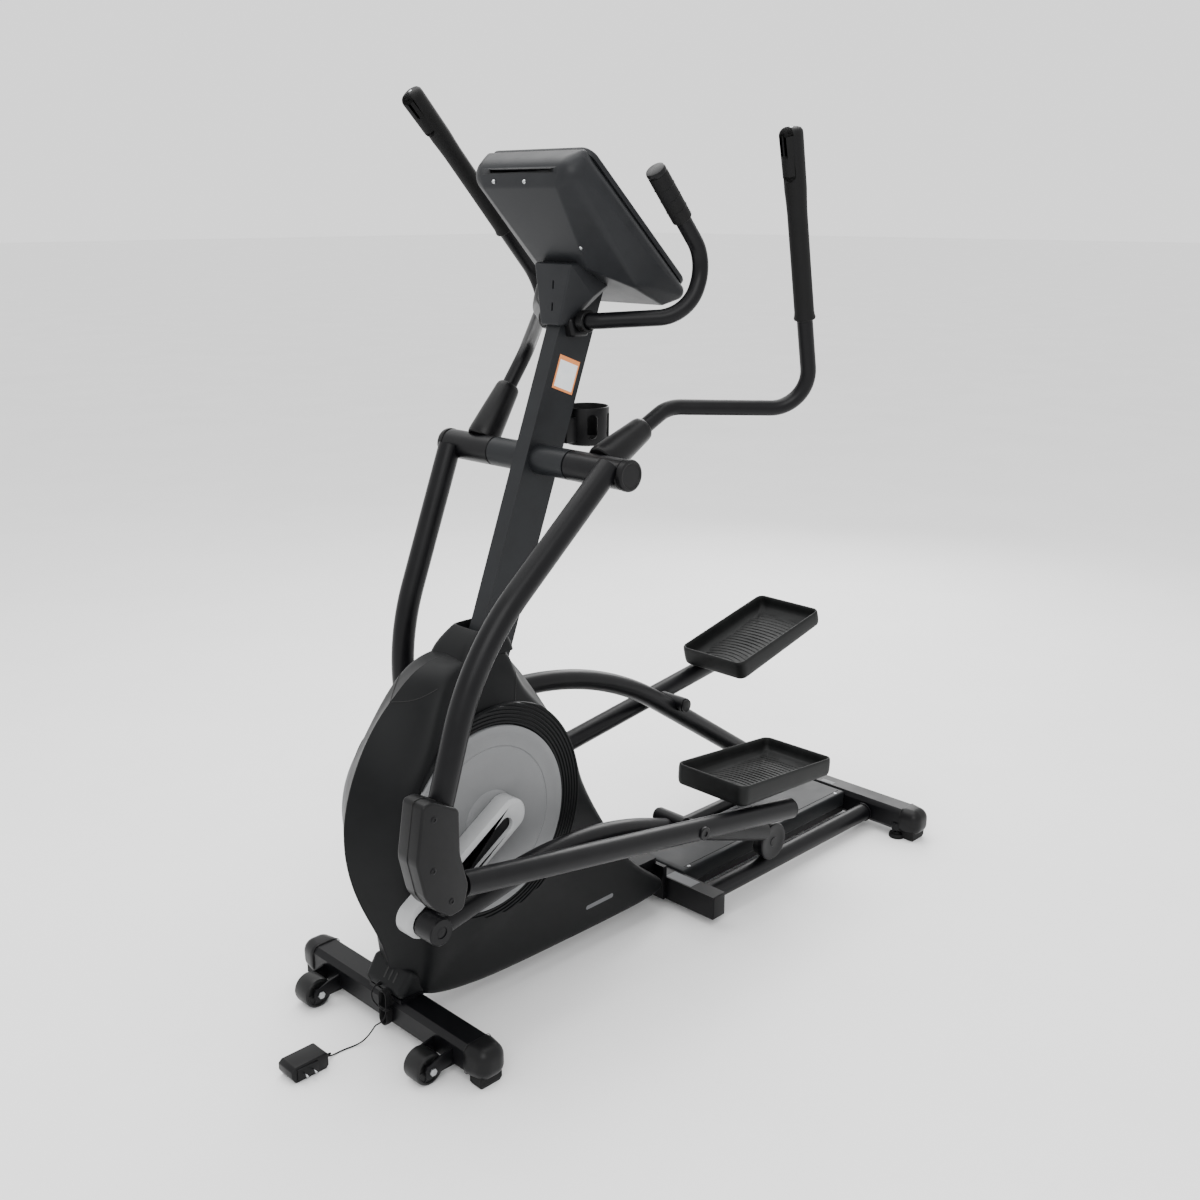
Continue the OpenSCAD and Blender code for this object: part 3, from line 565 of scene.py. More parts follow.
def near_spine(x, z):
    best = None
    p = Vector((x, z))
    for a, b in zip(SHROUD_SPINE, SHROUD_SPINE[1:]):
        a, b = Vector(a), Vector(b)
        t = max(0.0, min(1.0, (p - a).dot(b - a) / (b - a).length_squared))
        q = a + (b - a) * t
        if best is None or (q - p).length < (best - p).length:
            best = q
    return best


def side_width(x, z):
    """Half width of the flat side: full round the disc, slimmer in the neck and the tail."""
    away = math.hypot(x - CRANK_X, z - CRANK_Z)
    base = 76 if z < 330 else 60
    return 107 if away < 205 else base + (107 - base) * max(0.0, min(1.0, (300 - away) / 95))


def shroud_cage():
    bm = bmesh.new()
    loops = []
    for share in (-2, -1, 0, 1, 2, 3, 4, 5):
        loop = []
        for middle, shoulder, width in SHROUD:
            m, o = Vector(middle), Vector(shoulder)
            target = near_spine(*o)
            side = side_width(*(o + (target - o) * 0.3))
            if share == 0:
                spot = m + (m - o) * 0.3
                y = 0
            elif abs(share) == 1:
                spot = m + (o - m) * 0.75
                y = width * 0.72
            elif abs(share) == 2:
                spot = o + (target - o) * 0.06
                y = max(width, side * 0.97)
            else:
                spot = o + (target - o) * {3: 0.3, 4: 0.6, 5: 0.9}[share]
                y = side_width(*spot)
            sign = -1 if share < 0 else 1
            loop.append(bm.verts.new((spot.x, sign * y, spot.y)))
        edges = [bm.edges.new((a, b)) for a, b in zip(loop, loop[1:] + loop[:1])]
        loops.append(edges)
    for first, second in zip(loops, loops[1:]):
        bmesh.ops.bridge_loops(bm, edges=first + second)
    return bm, loops


def make_shroud(side):
    """One half: the smooth drum with its flat side, and the tail over the belt."""
    bm, loops = shroud_cage()
    bmesh.ops.delete(bm, geom=[e for e in loops[0]], context="EDGES")
    last = [e for e in loops[-1] if e.is_valid]
    bmesh.ops.triangle_fill(bm, edges=last, use_beauty=True)
    bmesh.ops.delete(bm, geom=[v for v in bm.verts if v.co.y < -1], context="VERTS")
    smooth = evaluated(bm, [("SUBSURF", {"levels": 3, "render_levels": 3})])
    bmesh.ops.bisect_plane(smooth, geom=smooth.verts[:] + smooth.edges[:] + smooth.faces[:], dist=0.001,
                           plane_co=(0, 0.02, 0), plane_no=(0, 1, 0), clear_inner=True)
    if side == "left":
        bmesh.ops.transform(smooth, matrix=Matrix.Diagonal((1, -1, 1, 1)), verts=smooth.verts)
    return piece(f"shroud_{side}_shell", smooth, MACHINE, shroud_abs, "frame",
                 [f"shroud_{side}"], sharp=40)


def make_drum_ring(side):
    """The grooved recess round the disc."""
    bm = bmesh.new()
    profile = [(194, 99), (194, 109.0), (196, 110.5)]
    r = 199
    while r < 240:
        profile += [(r, 110.5), (r + 1.2, 108.2), (r + 3.4, 108.2), (r + 4.6, 110.5)]
        r += 7.6
    profile += [(243, 110.5), (246, 109), (247, 99)]
    turned(bm, profile, 128, Matrix.Translation((CRANK_X, 0, CRANK_Z)))
    cutter = bmesh.new()
    middle = Matrix.Translation((CRANK_X + 36, 0, CRANK_Z + 6))
    turned(cutter, [(0, 60), (0, 140), (222, 140), (222, 60)], 96, middle)
    bm = cut(bm, cutter, "INTERSECT")
    return piece(f"shroud_ring_{side}", bm, OUTWARD[side], shroud_abs, "frame")


def make_collar():
    """The raised neck from which the mast comes out."""
    bm = bmesh.new()
    rings = [(746, 150, 286, 56, 16), (762, 158, 284, 54, 18), (780, 176, 276, 49, 20),
             (792, 192, 270, 44, 18),
             (797, 200, 266, 41, 14), (797, 206, 262, 37, 12), (780, 200, 262, 34, 12)]
    loops = []
    for z, x0, x1, half, corner in rings:
        ring = rounded_box(x1 - x0, 2 * half, corner)
        verts = [bm.verts.new(((x0 + x1) / 2 + x, y, z)) for x, y in ring]
        loops.append([bm.edges.new((a, b)) for a, b in zip(verts, verts[1:] + verts[:1])])
    for first, second in zip(loops, loops[1:]):
        bmesh.ops.bridge_loops(bm, edges=first + second)
    bm = evaluated(bm, [("SUBSURF", {"levels": 1, "render_levels": 1})])
    return piece("mast_collar_moulding", bm, MACHINE, shroud_abs, "frame", ["mast_collar"])


def surface_line(target, points, radius, name, material, body, offset=0.15):
    """A fine line laid on a finished surface: each point (with its direction) is dropped onto it."""
    tree = surface_of(target)
    spots = []
    for start, way in points:
        a = MACHINE @ Vector(start)
        hit, normal, _, _ = tree.ray_cast(a, Vector(way).normalized())
        if hit is not None:
            spots.append((hit + normal * offset * MM) / MM)
    bm = bmesh.new()
    if len(spots) > 1:
        pipe(bm, spots, radius, 8)
    return piece(name, bm, Matrix.Scale(MM, 4), material, body)


for side in SIDES:
    shell = make_shroud(side)
    make_drum_ring(side)
    sign = SIDES[side]
    # painted shade: thin near-black tubes laid on the smooth shell where the cover seams and the joint of the
    # two halves would be in shade; no grooves are cut
    seam = [((-300, sign * y, 690 + 26 * (y / 60) ** 3), (1, 0, 0)) for y in range(1, 60, 3)]
    surface_line(shell, seam, 0.9, f"shroud_seam_shade_{side}", shadow_gap, "frame")
    seam = [((300 - 4 * k, sign * 300, 742 - 7 * k), (0, -sign, 0)) for k in range(14)]
    surface_line(shell, seam, 0.8, f"shroud_side_seam_shade_{side}", shadow_gap, "frame")
    edge = [((k * 20, sign * 300, 55), (0, -sign, 0)) for k in range(2, 36)]
    surface_line(shell, edge, 0.7, f"shroud_foot_seam_shade_{side}", shadow_gap, "frame")
    if side == "left":
        joint = [((1200, -1.2, 90 + 12 * k), (-1, 0, 0)) for k in range(45)]
        surface_line(shell, joint, 0.8, "shroud_joint_shade_rear", shadow_gap, "frame")
        joint = [((-500, -1.2, 150 + 12 * k), (1, 0, 0)) for k in range(45)]
        surface_line(shell, joint, 0.5, "shroud_joint_shade_front", shadow_gap, "frame")
make_collar()


# ---- crank ----
def make_disc(side):
    bm = bmesh.new()
    profile = [(16, 104), (16, 111), (24, 113.5), (60, 113.5), (62, 112.6), (64, 113.5), (148, 113.5),
               (150, 112.2),
               (152, 113.5), (172, 113.8), (178, 116.0), (188, 116.0), (191.5, 114.5), (192, 112),
               (192, 106), (186, 104)]
    turned(bm, profile, 128)
    return piece(f"crank_disc_{side}", bm, THROW[side], disc_abs, "crank",
                 ["crank_discs"] if side == "left" else [])


def make_crank_cover(side):
    bm = bmesh.new()
    plate(bm, stadium(-28, 240, 34, 20), 114, 157)
    outer = [f for f in bm.faces if f.calc_center_median().y > 156.9]
    bmesh.ops.inset_region(bm, faces=outer, thickness=7, depth=0)
    bmesh.ops.translate(bm, vec=(0, -7, 0), verts=[v for v in bm.verts if v.co.y > 156.9 and
                                                   not any(f in outer for f in v.link_faces)])
    cutter = bmesh.new()
    plate(cutter, stadium(-4, 212, 15.5, 20), 146, 170)
    bm = cut(bm, cutter)
    cutter = bmesh.new()
    turned(cutter, [(0, 120), (0, 170), (25.3, 170), (25.3, 120)], 48, Matrix.Translation((240, 0, 0)))
    bm = cut(bm, cutter)
    soften(bm, 1.2, 2)
    piece(f"crank_cover_{side}", bm, THROW[side], crank_abs, "crank",
                 ["crank_covers"] if side == "left" else [])
    bm = bmesh.new()
    plate(bm, stadium(-4, 212, 15.4, 20), 140, 147.5)
    soften(bm, 1.0, 2)
    piece(f"crank_slot_floor_{side}", bm, THROW[side], cover_abs, "crank")
    bm = bmesh.new()
    spot = Matrix.Translation((240, 0, 0))
    turned(bm, [(0, 120), (21.8, 120), (21.8, 156), (20.5, 157.8), (15, 157.8), (14, 156.6), (0, 156.6)],
           48, spot)
    turned(bm, [(0, 156), (9, 156), (9, 158.4), (7.6, 159.2), (0, 159.2)], 6, spot)
    piece(f"crank_pin_hub_{side}", bm, THROW[side], cover_abs, "crank")


for side in SIDES:
    make_disc(side)
    make_crank_cover(side)


# ---- swing arms, boots, handlebars, grips ----
BAR_R = 16
BOOT_DIR = Vector((80, 0, 130)).normalized()


def up_boot(distance):
    return BOOT_DIR * distance + Vector((0, 172, 0))


GRIP_TOP = Vector((-51, 357, 696))
ELBOW_HIGH = Vector((335, 340, 322))
GRIP_FOOT = ELBOW_HIGH + 0.345 * (GRIP_TOP - ELBOW_HIGH)
PIVOT_OUTLINE = [(-154, -702), (-136, -688), (-70, -684), (-24, -756), (27, -803), (40, -847), (16, -868),
                 (-28, -864), (-60, -850), (-112, -799)]


def screw(bm, spot, radius=4.2, axis="Y"):
    """A pan-head screw with a round recess in its head, its head outward from the spot."""
    way = {"Y": Matrix.Identity(4), "-Y": Matrix.Rotation(math.pi, 4, "Z"),
           "X": Matrix.Rotation(-math.pi / 2, 4, "Z"), "Z": Matrix.Rotation(math.pi / 2, 4, "X")}[axis]
    head = [(0, -2), (radius, -2), (radius, 0.4), (radius * 0.75, 1.5), (radius * 0.3, 1.9),
            (radius * 0.28, 0.9),
            (0, 0.9)]
    turned(bm, head, 20, Matrix.Translation(spot) @ way)


def make_swing_arm(side):
    body = f"{side}_swing_arm"
    place = SWING[side]
    bm = bmesh.new()
    sleeve = [(20.4, 112.5), (27, 112.5), (30, 114.5), (30, 254), (27.5, 256), (20.4, 256)]
    turned(bm, sleeve, 64)
    pipe(bm, rounded_path([(-25, 232, 0), (-152, 232, -430), (-52, 232, -800)], 500, 20), 24, 40)
    pipe(bm, [up_boot(20), up_boot(60)], BAR_R, 32)
    for y in (214, 250):
        ear = [(-84, -762), (-22, -770), (18, -819), (16, -840), (0, -847), (-14, -846), (-70, -812)]
        part = bmesh.new()
        plate(part, ear, y, y + 6)
        soften(part, 1.2, 2)
        add_mesh(bm, part)
    turned(bm, solid_round(8, 216, 267), 32, Matrix.Translation((0, 0, -SWING_LEN)))
    piece(f"swing_tube_{side}", bm, place, powder_coat, body, [f"swing_arm_{side}"])

    bm = bmesh.new()
    cone = [(16.4, 22), (31, 22), (33.6, 24), (34.6, 28), (34, 40), (25.6, 140), (24, 147), (21, 151),
            (16.4, 152)]
    turn = Matrix.Translation((0, 172, 0)) @ Matrix.Rotation(math.atan2(80, 130), 4, "Y")
    turned(bm, cone, 64, turn, axis="Z")
    cutter = bmesh.new()
    turned(cutter, [(0, 90), (30.6, 90), (30.6, 270), (0, 270)], 64)
    bm = cut(bm, cutter)
    piece(f"handle_boot_moulding_{side}", bm, place, cover_abs, body,
          [f"handle_boot_{side}"])

    bm = bmesh.new()
    pipe(bm, rounded_path([up_boot(58), up_boot(230), ELBOW_HIGH, GRIP_TOP], 70, 16), BAR_R, 32)
    piece(f"handle_tube_{side}", bm, place, powder_coat, body, [f"handlebar_{side}"])
    make_grip(side, body, place)
    make_pivot_cover(side, body, place)


def make_grip(side, body, place):
    """Moulded rubber grip: a flared foot, a ribbed pad on the forward side and a screw on its end."""
    lie = along(GRIP_FOOT, GRIP_TOP)
    long = (GRIP_TOP - GRIP_FOOT).length
    bm = bmesh.new()
    body_profile = [(16.1, 0), (19, 0), (21, 1.2), (21.8, 4), (20.4, 9), (19.6, 16)]
    body_profile += [(19.4, long * 0.3), (19.6, long * 0.6), (20.4, long * 0.66), (21.6, long * 0.72)]
    body_profile += [(21.9, long), (21.2, long + 7), (18, long + 11.6), (12, long + 13.8), (0, long + 14)]
    body_profile += [(0, long + 0.5), (16.1, long + 0.5)]
    turned(bm, body_profile, 56, lie, axis="Z")
    piece(f"grip_body_{side}", bm, place, grip_rubber, body, [f"grip_{side}"], sharp=50)
    pad = bmesh.new()
    u = (GRIP_TOP - GRIP_FOOT).normalized()
    for spot, offset in ((GRIP_TOP + 1 * u, Vector((-10, 0, -10))), (GRIP_TOP - 72 * u, Vector((-8, 0, -8)))):
        end = Matrix.Translation(spot + offset)
        bmesh.ops.create_uvsphere(pad, u_segments=40, v_segments=24, radius=15.6, matrix=end)
    hull = bmesh.ops.convex_hull(pad, input=pad.verts)
    inner = [g for g in hull["geom_interior"] if isinstance(g, bmesh.types.BMVert)]
    bmesh.ops.delete(pad, geom=inner, context="VERTS")
    piece(f"grip_pad_{side}", pad, place, grip_rubber, body, sharp=50)
    ribs = bmesh.new()
    out = Vector((-10, 0, -10)).normalized()
    across = u.cross(out).normalized()
    for k in range(11):
        centre = GRIP_TOP - (2 + 6.4 * k) * u + out * (13 + 15.0 - 0.25 * k)
        turns = [a / 4 * 1.2 for a in range(-4, 5)]
        arc = [centre + across * 9.5 * math.sin(t) - out * 9.5 * (1 - math.cos(t)) for t in turns]
        pipe(ribs, arc, 1.3, 8)
    piece(f"grip_pad_ribs_{side}", ribs, place, grip_rubber, body)
    bm = bmesh.new()
    end = Matrix.Translation(GRIP_TOP + (14 - 1.2) * u) @ (u.to_track_quat("Z", "Y").to_matrix().to_4x4())
    turned(bm, [(0, 0), (4.2, 0), (4.2, 0.8), (3, 1.8), (1.2, 2.0), (1.1, 1.0), (0, 1.0)], 20, end, axis="Z")
    piece(f"grip_screw_{side}", bm, place, zinc, body)


def make_pivot_cover(side, body, place):
    bm = bmesh.new()
    plate(bm, PIVOT_OUTLINE, 211.5, 270)
    turns = [e for e in bm.edges if abs(e.verts[0].co.y - e.verts[1].co.y) > 50]
    bmesh.ops.bevel(bm, geom=turns, offset=8, affect="EDGES", segments=5, profile=0.5, material=-1,
                    clamp_overlap=True)
    soften(bm, 5, 4, over=60)
    piece(f"pivot_cover_moulding_{side}", bm, place, cover_abs, body,
          [f"pivot_cover_{side}"], sharp=28)
    bm = bmesh.new()
    for x, z in ((-118, -716), (2, -840), (-70, -800)):
        turned(bm, [(0, 268), (6.4, 268), (6.4, 270.6), (5.4, 271.2), (3.2, 271.2), (3.0, 269.4),
                    (0, 269.4)], 28,
               Matrix.Translation((x, 0, z)))
    piece(f"pivot_cover_screws_{side}", bm, place, powder_coat, body)
    # painted shade: a near-black tube round the cover's middle, where the seam between its two shells would
    # be in shade
    bm = bmesh.new()
    middle = Vector((-56, 0, -774))
    run = [(middle.x + (x - middle.x) * 1.004, 241, middle.z + (z - middle.z) * 1.004) for x,
           z in PIVOT_OUTLINE]
    pipe(bm, rounded_path([*run[:1], *run[1:], run[0]], 6, 6), 0.9, 8)
    piece(f"pivot_cover_seam_shade_{side}", bm, place, shadow_gap, body)


def make_shaft_cap(side):
    bm = bmesh.new()
    cap = [(0, 257.5), (29, 257.5), (31, 259), (31, 266), (30, 269), (26.5, 271), (24, 270.6), (23, 269.4),
           (8, 269.8), (0, 269.8)]
    turned(bm, cap, 64)
    spot = in_plane(joint_at("left_swing"), 0, side)
    return piece(f"shaft_cap_{side}", bm, spot, cover_abs, "frame",
                 ["shaft_caps"] if side == "left" else [])


for side in SIDES:
    make_swing_arm(side)
    make_shaft_cap(side)


# ---- pedal arms, trays, stride rails, rollers ----
def make_pedal_arm(side):
    body = f"{side}_pedal_arm"
    bm = bmesh.new()
    pipe(bm, [(44, 240, 0), (1044, 240, 0)], 24, 40)
    turned(bm, [(0, 1040), (20, 1040), (23.8, 1041), (24.2, 1044), (22, 1046.6), (0, 1047)], 48,
           Matrix.Translation((0, 240, 0)) @ Matrix.Rotation(math.radians(90), 4, "Y"), axis="Z")
    turned(bm, [(8.4, 221), (18, 221), (19, 222), (19, 248), (18, 249), (8.4, 249)], 48)
    pipe(bm, [(12, 235, 0), (60, 240, 0)], 17, 32)
    spot = Matrix.Translation((ARM_LEN, 0, 0))
    turned(bm, solid_round(11, 128, 266), 32, spot)
    piece(f"pedal_arm_tube_{side}", bm, ARM[side], powder_coat, body, [f"pedal_arm_{side}"])
    bm = bmesh.new()
    turned(bm, solid_round(16, 126, 130.4, 1.2), 40, spot)
    turned(bm, [(0, 263), (15, 263), (15, 267), (13.6, 268), (6.4, 268), (6, 264.5), (0, 264.5)], 40, spot)
    piece(f"cross_pivot_heads_{side}", bm, ARM[side], cover_abs, body)


def tray_outline(grow=0.0):
    return rounded_box(342 - 2 * grow, 206 - 2 * grow, 22 - grow, 10)


def make_tray(side):
    """Foot tray: rounded walls, higher at the toe and the outer edge, and a floor with curved ribs."""
    body = f"{side}_pedal_arm"
    place = ARM[side] @ Matrix.Translation((ARM_LEN + 299, 154, 98)) @ Matrix.Rotation(math.radians(-6.4),
                                                                                       4, "Y")
    bm = bmesh.new()
    loops = []
    for grow, low, high in ((14, -50, -50), (3, -46, -46), (0, -37, -37), (0, -12, 0), (2.5, -8, 3.5),
                            (6, -8, 3.5),
                            (8.5, -12, 0), (10, -34, -34), (14, -40, -40)):
        verts = []
        for x, y in tray_outline(grow):
            lift = max(0.0, min(1.0, (60 - x) / 180)) * 0.75 + max(0.0, (y - 60) / 60) * 0.3
            z = low + (high - low) * min(1.0, 0.25 + lift)
            verts.append(bm.verts.new((x, y, z)))
        loops.append([bm.edges.new((a, b)) for a, b in zip(verts, verts[1:] + verts[:1])])
    for first, second in zip(loops, loops[1:]):
        bmesh.ops.bridge_loops(bm, edges=first + second)
    for ends in (loops[0], loops[-1]):
        bmesh.ops.contextual_create(bm, geom=ends)
    bm = evaluated(bm, [("SUBSURF", {"levels": 1, "render_levels": 1})])
    piece(f"foot_tray_{side}", bm, place, tray_pp, body, [f"pedal_{side}"], sharp=60)
    ribs = bmesh.new()
    centre = Vector((-215, 10))
    for k in range(24):
        radius = 58 + 13.2 * k
        run = []
        for a in range(-90, 91, 2):
            p = centre + radius * Vector((math.cos(math.radians(a)), math.sin(math.radians(a))))
            dx, dy = abs(p.x) - 143, abs(p.y) - 78
            inside = (dx < 0 or dy < 0 or math.hypot(dx, dy) < 11) and abs(p.x) < 154 and abs(p.y) < 89
            if inside:
                run.append((p.x, p.y, -39.7))
            elif len(run) > 2:
                pipe(ribs, run, 2.0, 8)
                run = []
            else:
                run = []
        if len(run) > 2:
            pipe(ribs, run, 2.0, 8)
    piece(f"foot_tray_ribs_{side}", ribs, place, tray_pp, body, sharp=60)
    bm = bmesh.new()
    low = [(-60, -49), (60, -49), (44, -62), (-44, -62)]
    plate(bm, low, -6, 62)
    soften(bm, 2, 2)
    piece(f"foot_tray_bracket_{side}", bm, place, powder_coat, body)


def make_stride_rail(side):
    body = f"{side}_stride_rail"
    bm = bmesh.new()
    pipe(bm, rounded_path([(0, 184, 0), (370, 177, 143), (1018, 164, 45)], 850, 28), 24, 40)
    turned(bm, [(12, 159.5), (25, 159.5), (27, 161.5), (27, 207), (25, 209), (12, 209)], 56)
    turned(bm, [(0, 205), (20, 205), (20, 206.4), (18, 207.6), (0, 207.6)], 40)
    spot = Matrix.Translation((665, 0, 119))
    turned(bm, [(11.4, 131), (17, 131), (18, 132), (18, 209), (17, 210), (11.4, 210)], 48, spot)
    piece(f"stride_rail_tube_{side}", bm, RAIL[side], powder_coat, body,
          [f"stride_rail_{side}"])
    bm = bmesh.new()
    end = Matrix.Translation((1057, 0, 16))
    turned(bm, [(0, 160), (43, 160), (46, 162), (46, 173), (44, 175.6), (37, 176), (31, 174.6), (12, 174.6),
                (11, 176), (0, 176)], 64, end)
    piece(f"roller_bracket_{side}", bm, RAIL[side], powder_coat, body)
    bm = bmesh.new()
    turned(bm, [(8.3, 127.4), (14, 127.2), (16, 128.6), (26, 128.6), (28, 127.2), (32, 127.2), (33.7, 129),
                (33.7, 153), (32, 154.8), (28, 154.8), (26, 153.4), (16, 153.4), (14, 154.8),
                (8.3, 154.6)], 72,
           Matrix.Translation((RAIL_LEN, 0, 0)))
    piece(f"roller_tyre_{side}", bm, RAIL[side], nylon, f"{side}_roller",
          [f"roller_{side}"])


for side in SIDES:
    make_pedal_arm(side)
    make_tray(side)
    make_stride_rail(side)


# ---- console, bracket cover, pulse bar ----
def rounded_hull(corners):
    """The tight skin over balls of given centre and radius."""
    bm = bmesh.new()
    for x, y, z, radius in corners:
        bmesh.ops.create_uvsphere(bm, u_segments=32, v_segments=16, radius=radius,
                                  matrix=Matrix.Translation((x, y, z)))
    made = bmesh.ops.convex_hull(bm, input=bm.verts)
    spare = {g for g in made["geom_interior"] + made["geom_unused"] if isinstance(g, bmesh.types.BMVert)}
    bmesh.ops.delete(bm, geom=list(spare), context="VERTS")
    bmesh.ops.dissolve_limit(bm, angle_limit=math.radians(0.6), verts=bm.verts, edges=bm.edges)
    return bm


def both(corners):
    return [(x, s * y, z, r) for x, y, z, r in corners for s in (-1, 1)]


BACK_TOP = Vector((362.4, 0, 1632.9))
BACK_DOWN = Vector((0.595, 0, -0.804))
BACK_OUT = Vector((-0.804, 0, -0.595))
BACK = Matrix.Translation(BACK_TOP) @ Matrix((BACK_OUT, (0, 1, 0), -BACK_DOWN)).transposed().to_4x4()
FACE = Matrix.Translation((410, 0, 1700)) @ Matrix.Rotation(math.radians(43), 4, "Y")


def make_console():
    housing = rounded_hull(both([(378, 98, 1634, 18), (486, 64, 1490, 16), (396, 108, 1650, 36),
                                 (403, 122, 1668, 22), (405, 128, 1683, 10),
                                 (662, 128, 1430, 18), (640, 112, 1416, 14), (556, 118, 1452, 14)]))
    recess = bmesh.new()
    block(recess, (-15, -85, 19), (14, 66, 44))
    soften(recess, 4, 4)
    recess.transform(BACK)
    housing = cut(housing, recess)
    details = [(-46, 31, 12, 3.2), (34, 31, 12, 3.2)]
    for y, z, half, radius in details:
        slot = bmesh.new()
        plate(slot, stadium(-half, half, radius), -20, 20)
        slot.transform(BACK @ Matrix.Translation((0, y, z)) @ Matrix.Rotation(math.radians(90), 4, "Z"))
        housing = cut(housing, slot)
    eye = bmesh.new()
    turned(eye, [(0, -14), (7, -14), (7, 14), (0, 14)], 32, BACK @ Matrix.Translation((0, -98, 34)) @
           Matrix.Rotation(math.radians(90), 4, "Z") @ Matrix.Diagonal((1, 1, 1.5, 1)))
    housing = cut(housing, eye)
    piece("console_housing", housing, MACHINE, console_abs, "frame", ["console_back"],
          sharp=28)
    bm = bmesh.new()
    for y, z in ((68, 6), (66, -17), (-18, 5), (-22, -17), (70, -141), (-76, -144)):
        radius = 4 if z > -100 else 6
        spot = BACK @ Matrix.Translation((0.6, y, z)) @ Matrix.Rotation(math.radians(-90), 4, "Z")
        turned(bm, [(0, -3), (radius, -3), (radius, 0.2), (radius * 0.8, 1.0), (radius * 0.3, 1.3),
                    (radius * 0.28, 0.3), (0, 0.3)], 20, spot)
    piece("console_back_screws", bm, MACHINE, zinc, "frame")
    bm = bmesh.new()
    loops = []
    for inset, z in ((1, -9), (0, -6), (0, -0.5), (1.2, 1.4), (3.4, 2), (11, 2), (13, 0.8), (15, 2)):
        grown = rounded_box(372 - 2 * inset, 284 - 2 * inset, 26 - inset, 8)
        verts = [bm.verts.new((x + 190, y, z)) for x, y in grown]
        loops.append([bm.edges.new((a, b)) for a, b in zip(verts, verts[1:] + verts[:1])])
    for first, second in zip(loops, loops[1:]):
        bmesh.ops.bridge_loops(bm, edges=first + second)
    for ends in (loops[0], loops[-1]):
        bmesh.ops.contextual_create(bm, geom=ends)
    pocket = bmesh.new()
    block(pocket, (40, -90, -1), (160, 90, 6))
    soften(pocket, 3, 3)
    bm = cut(bm, pocket)
    for y in (-34, 34):
        hole = bmesh.new()
        turned(hole, [(0, -20), (11.6, -20), (11.6, 10), (0, 10)], 40, Matrix.Translation((200, y, 0)),
               axis="Z")
        bm = cut(bm, hole)
    piece("console_face_panel", bm, MACHINE @ FACE, console_abs, "frame",
          ["console_face"], sharp=28)
    bm = bmesh.new()
    block(bm, (42, -88, -3), (158, 88, -0.2))
    soften(bm, 0.6, 2)
    piece("console_display", bm, MACHINE @ FACE, display_acrylic, "frame")
    bm = bmesh.new()
    for x0, x1, y0, y1 in ((50, 74, -80, 80), (82, 112, -80, -30), (82, 112, -24, 24), (82, 112, 30, 80),
                           (120, 150, -80, -30), (120, 150, -24, 24), (120, 150, 30, 80)):
        block(bm, (x0, y0, -0.25), (x1, y1, 0.05))
    soften(bm, 0.1, 1)
    piece("console_display_fields", bm, MACHINE @ FACE, display_field, "frame")
    bm = bmesh.new()
    for row in range(7):
        block(bm, (232 + 15 * row, -112, 1.2), (236 + 15 * row, 112, 3.0))
    soften(bm, 0.8, 2)
    piece("console_shelf_ribs", bm, MACHINE @ FACE, cover_abs, "frame")
    bm = bmesh.new()
    block(bm, (344, -120, 1), (356, 120, 14))
    soften(bm, 4, 4)
    piece("console_shelf_lip", bm, MACHINE @ FACE, cover_abs, "frame")
    for y, name in ((34, "start"), (-34, "stop")):
        bm = bmesh.new()
        turned(bm, [(0, -4), (10.8, -4), (10.8, 7), (10, 9), (8, 10), (4, 9.2), (0, 9)], 40,
               Matrix.Translation((200, y, 0)), axis="Z")
        piece(f"key_cap_{name}", bm, MACHINE @ FACE, key_rubber, f"{name}_key",
              [f"console_key_{name}"])


def make_bracket_cover():
    bm = rounded_hull(both([(451, 47, 1482, 5), (443, 23, 1373, 5), (466, 23, 1373, 5), (474, 47, 1484, 5),
                            (505, 50, 1425, 5), (564, 50, 1455, 5)]))
    for z in (1446, 1404):
        slot = bmesh.new()
        x = 446 - (1482 - z) * 8 / 109
        block(slot, (x - 16, -7.2, z - 8), (x + 6, -2.8, z + 8))
        bm = cut(bm, slot)
    piece("bracket_cover_moulding", bm, MACHINE, console_abs, "frame", ["bracket_cover"],
          sharp=25)


BAR_CORNERS = [(486, 0, 1376), (486, 60, 1376), (604, 214, 1388), (652, 216, 1492), (510, 214, 1655)]


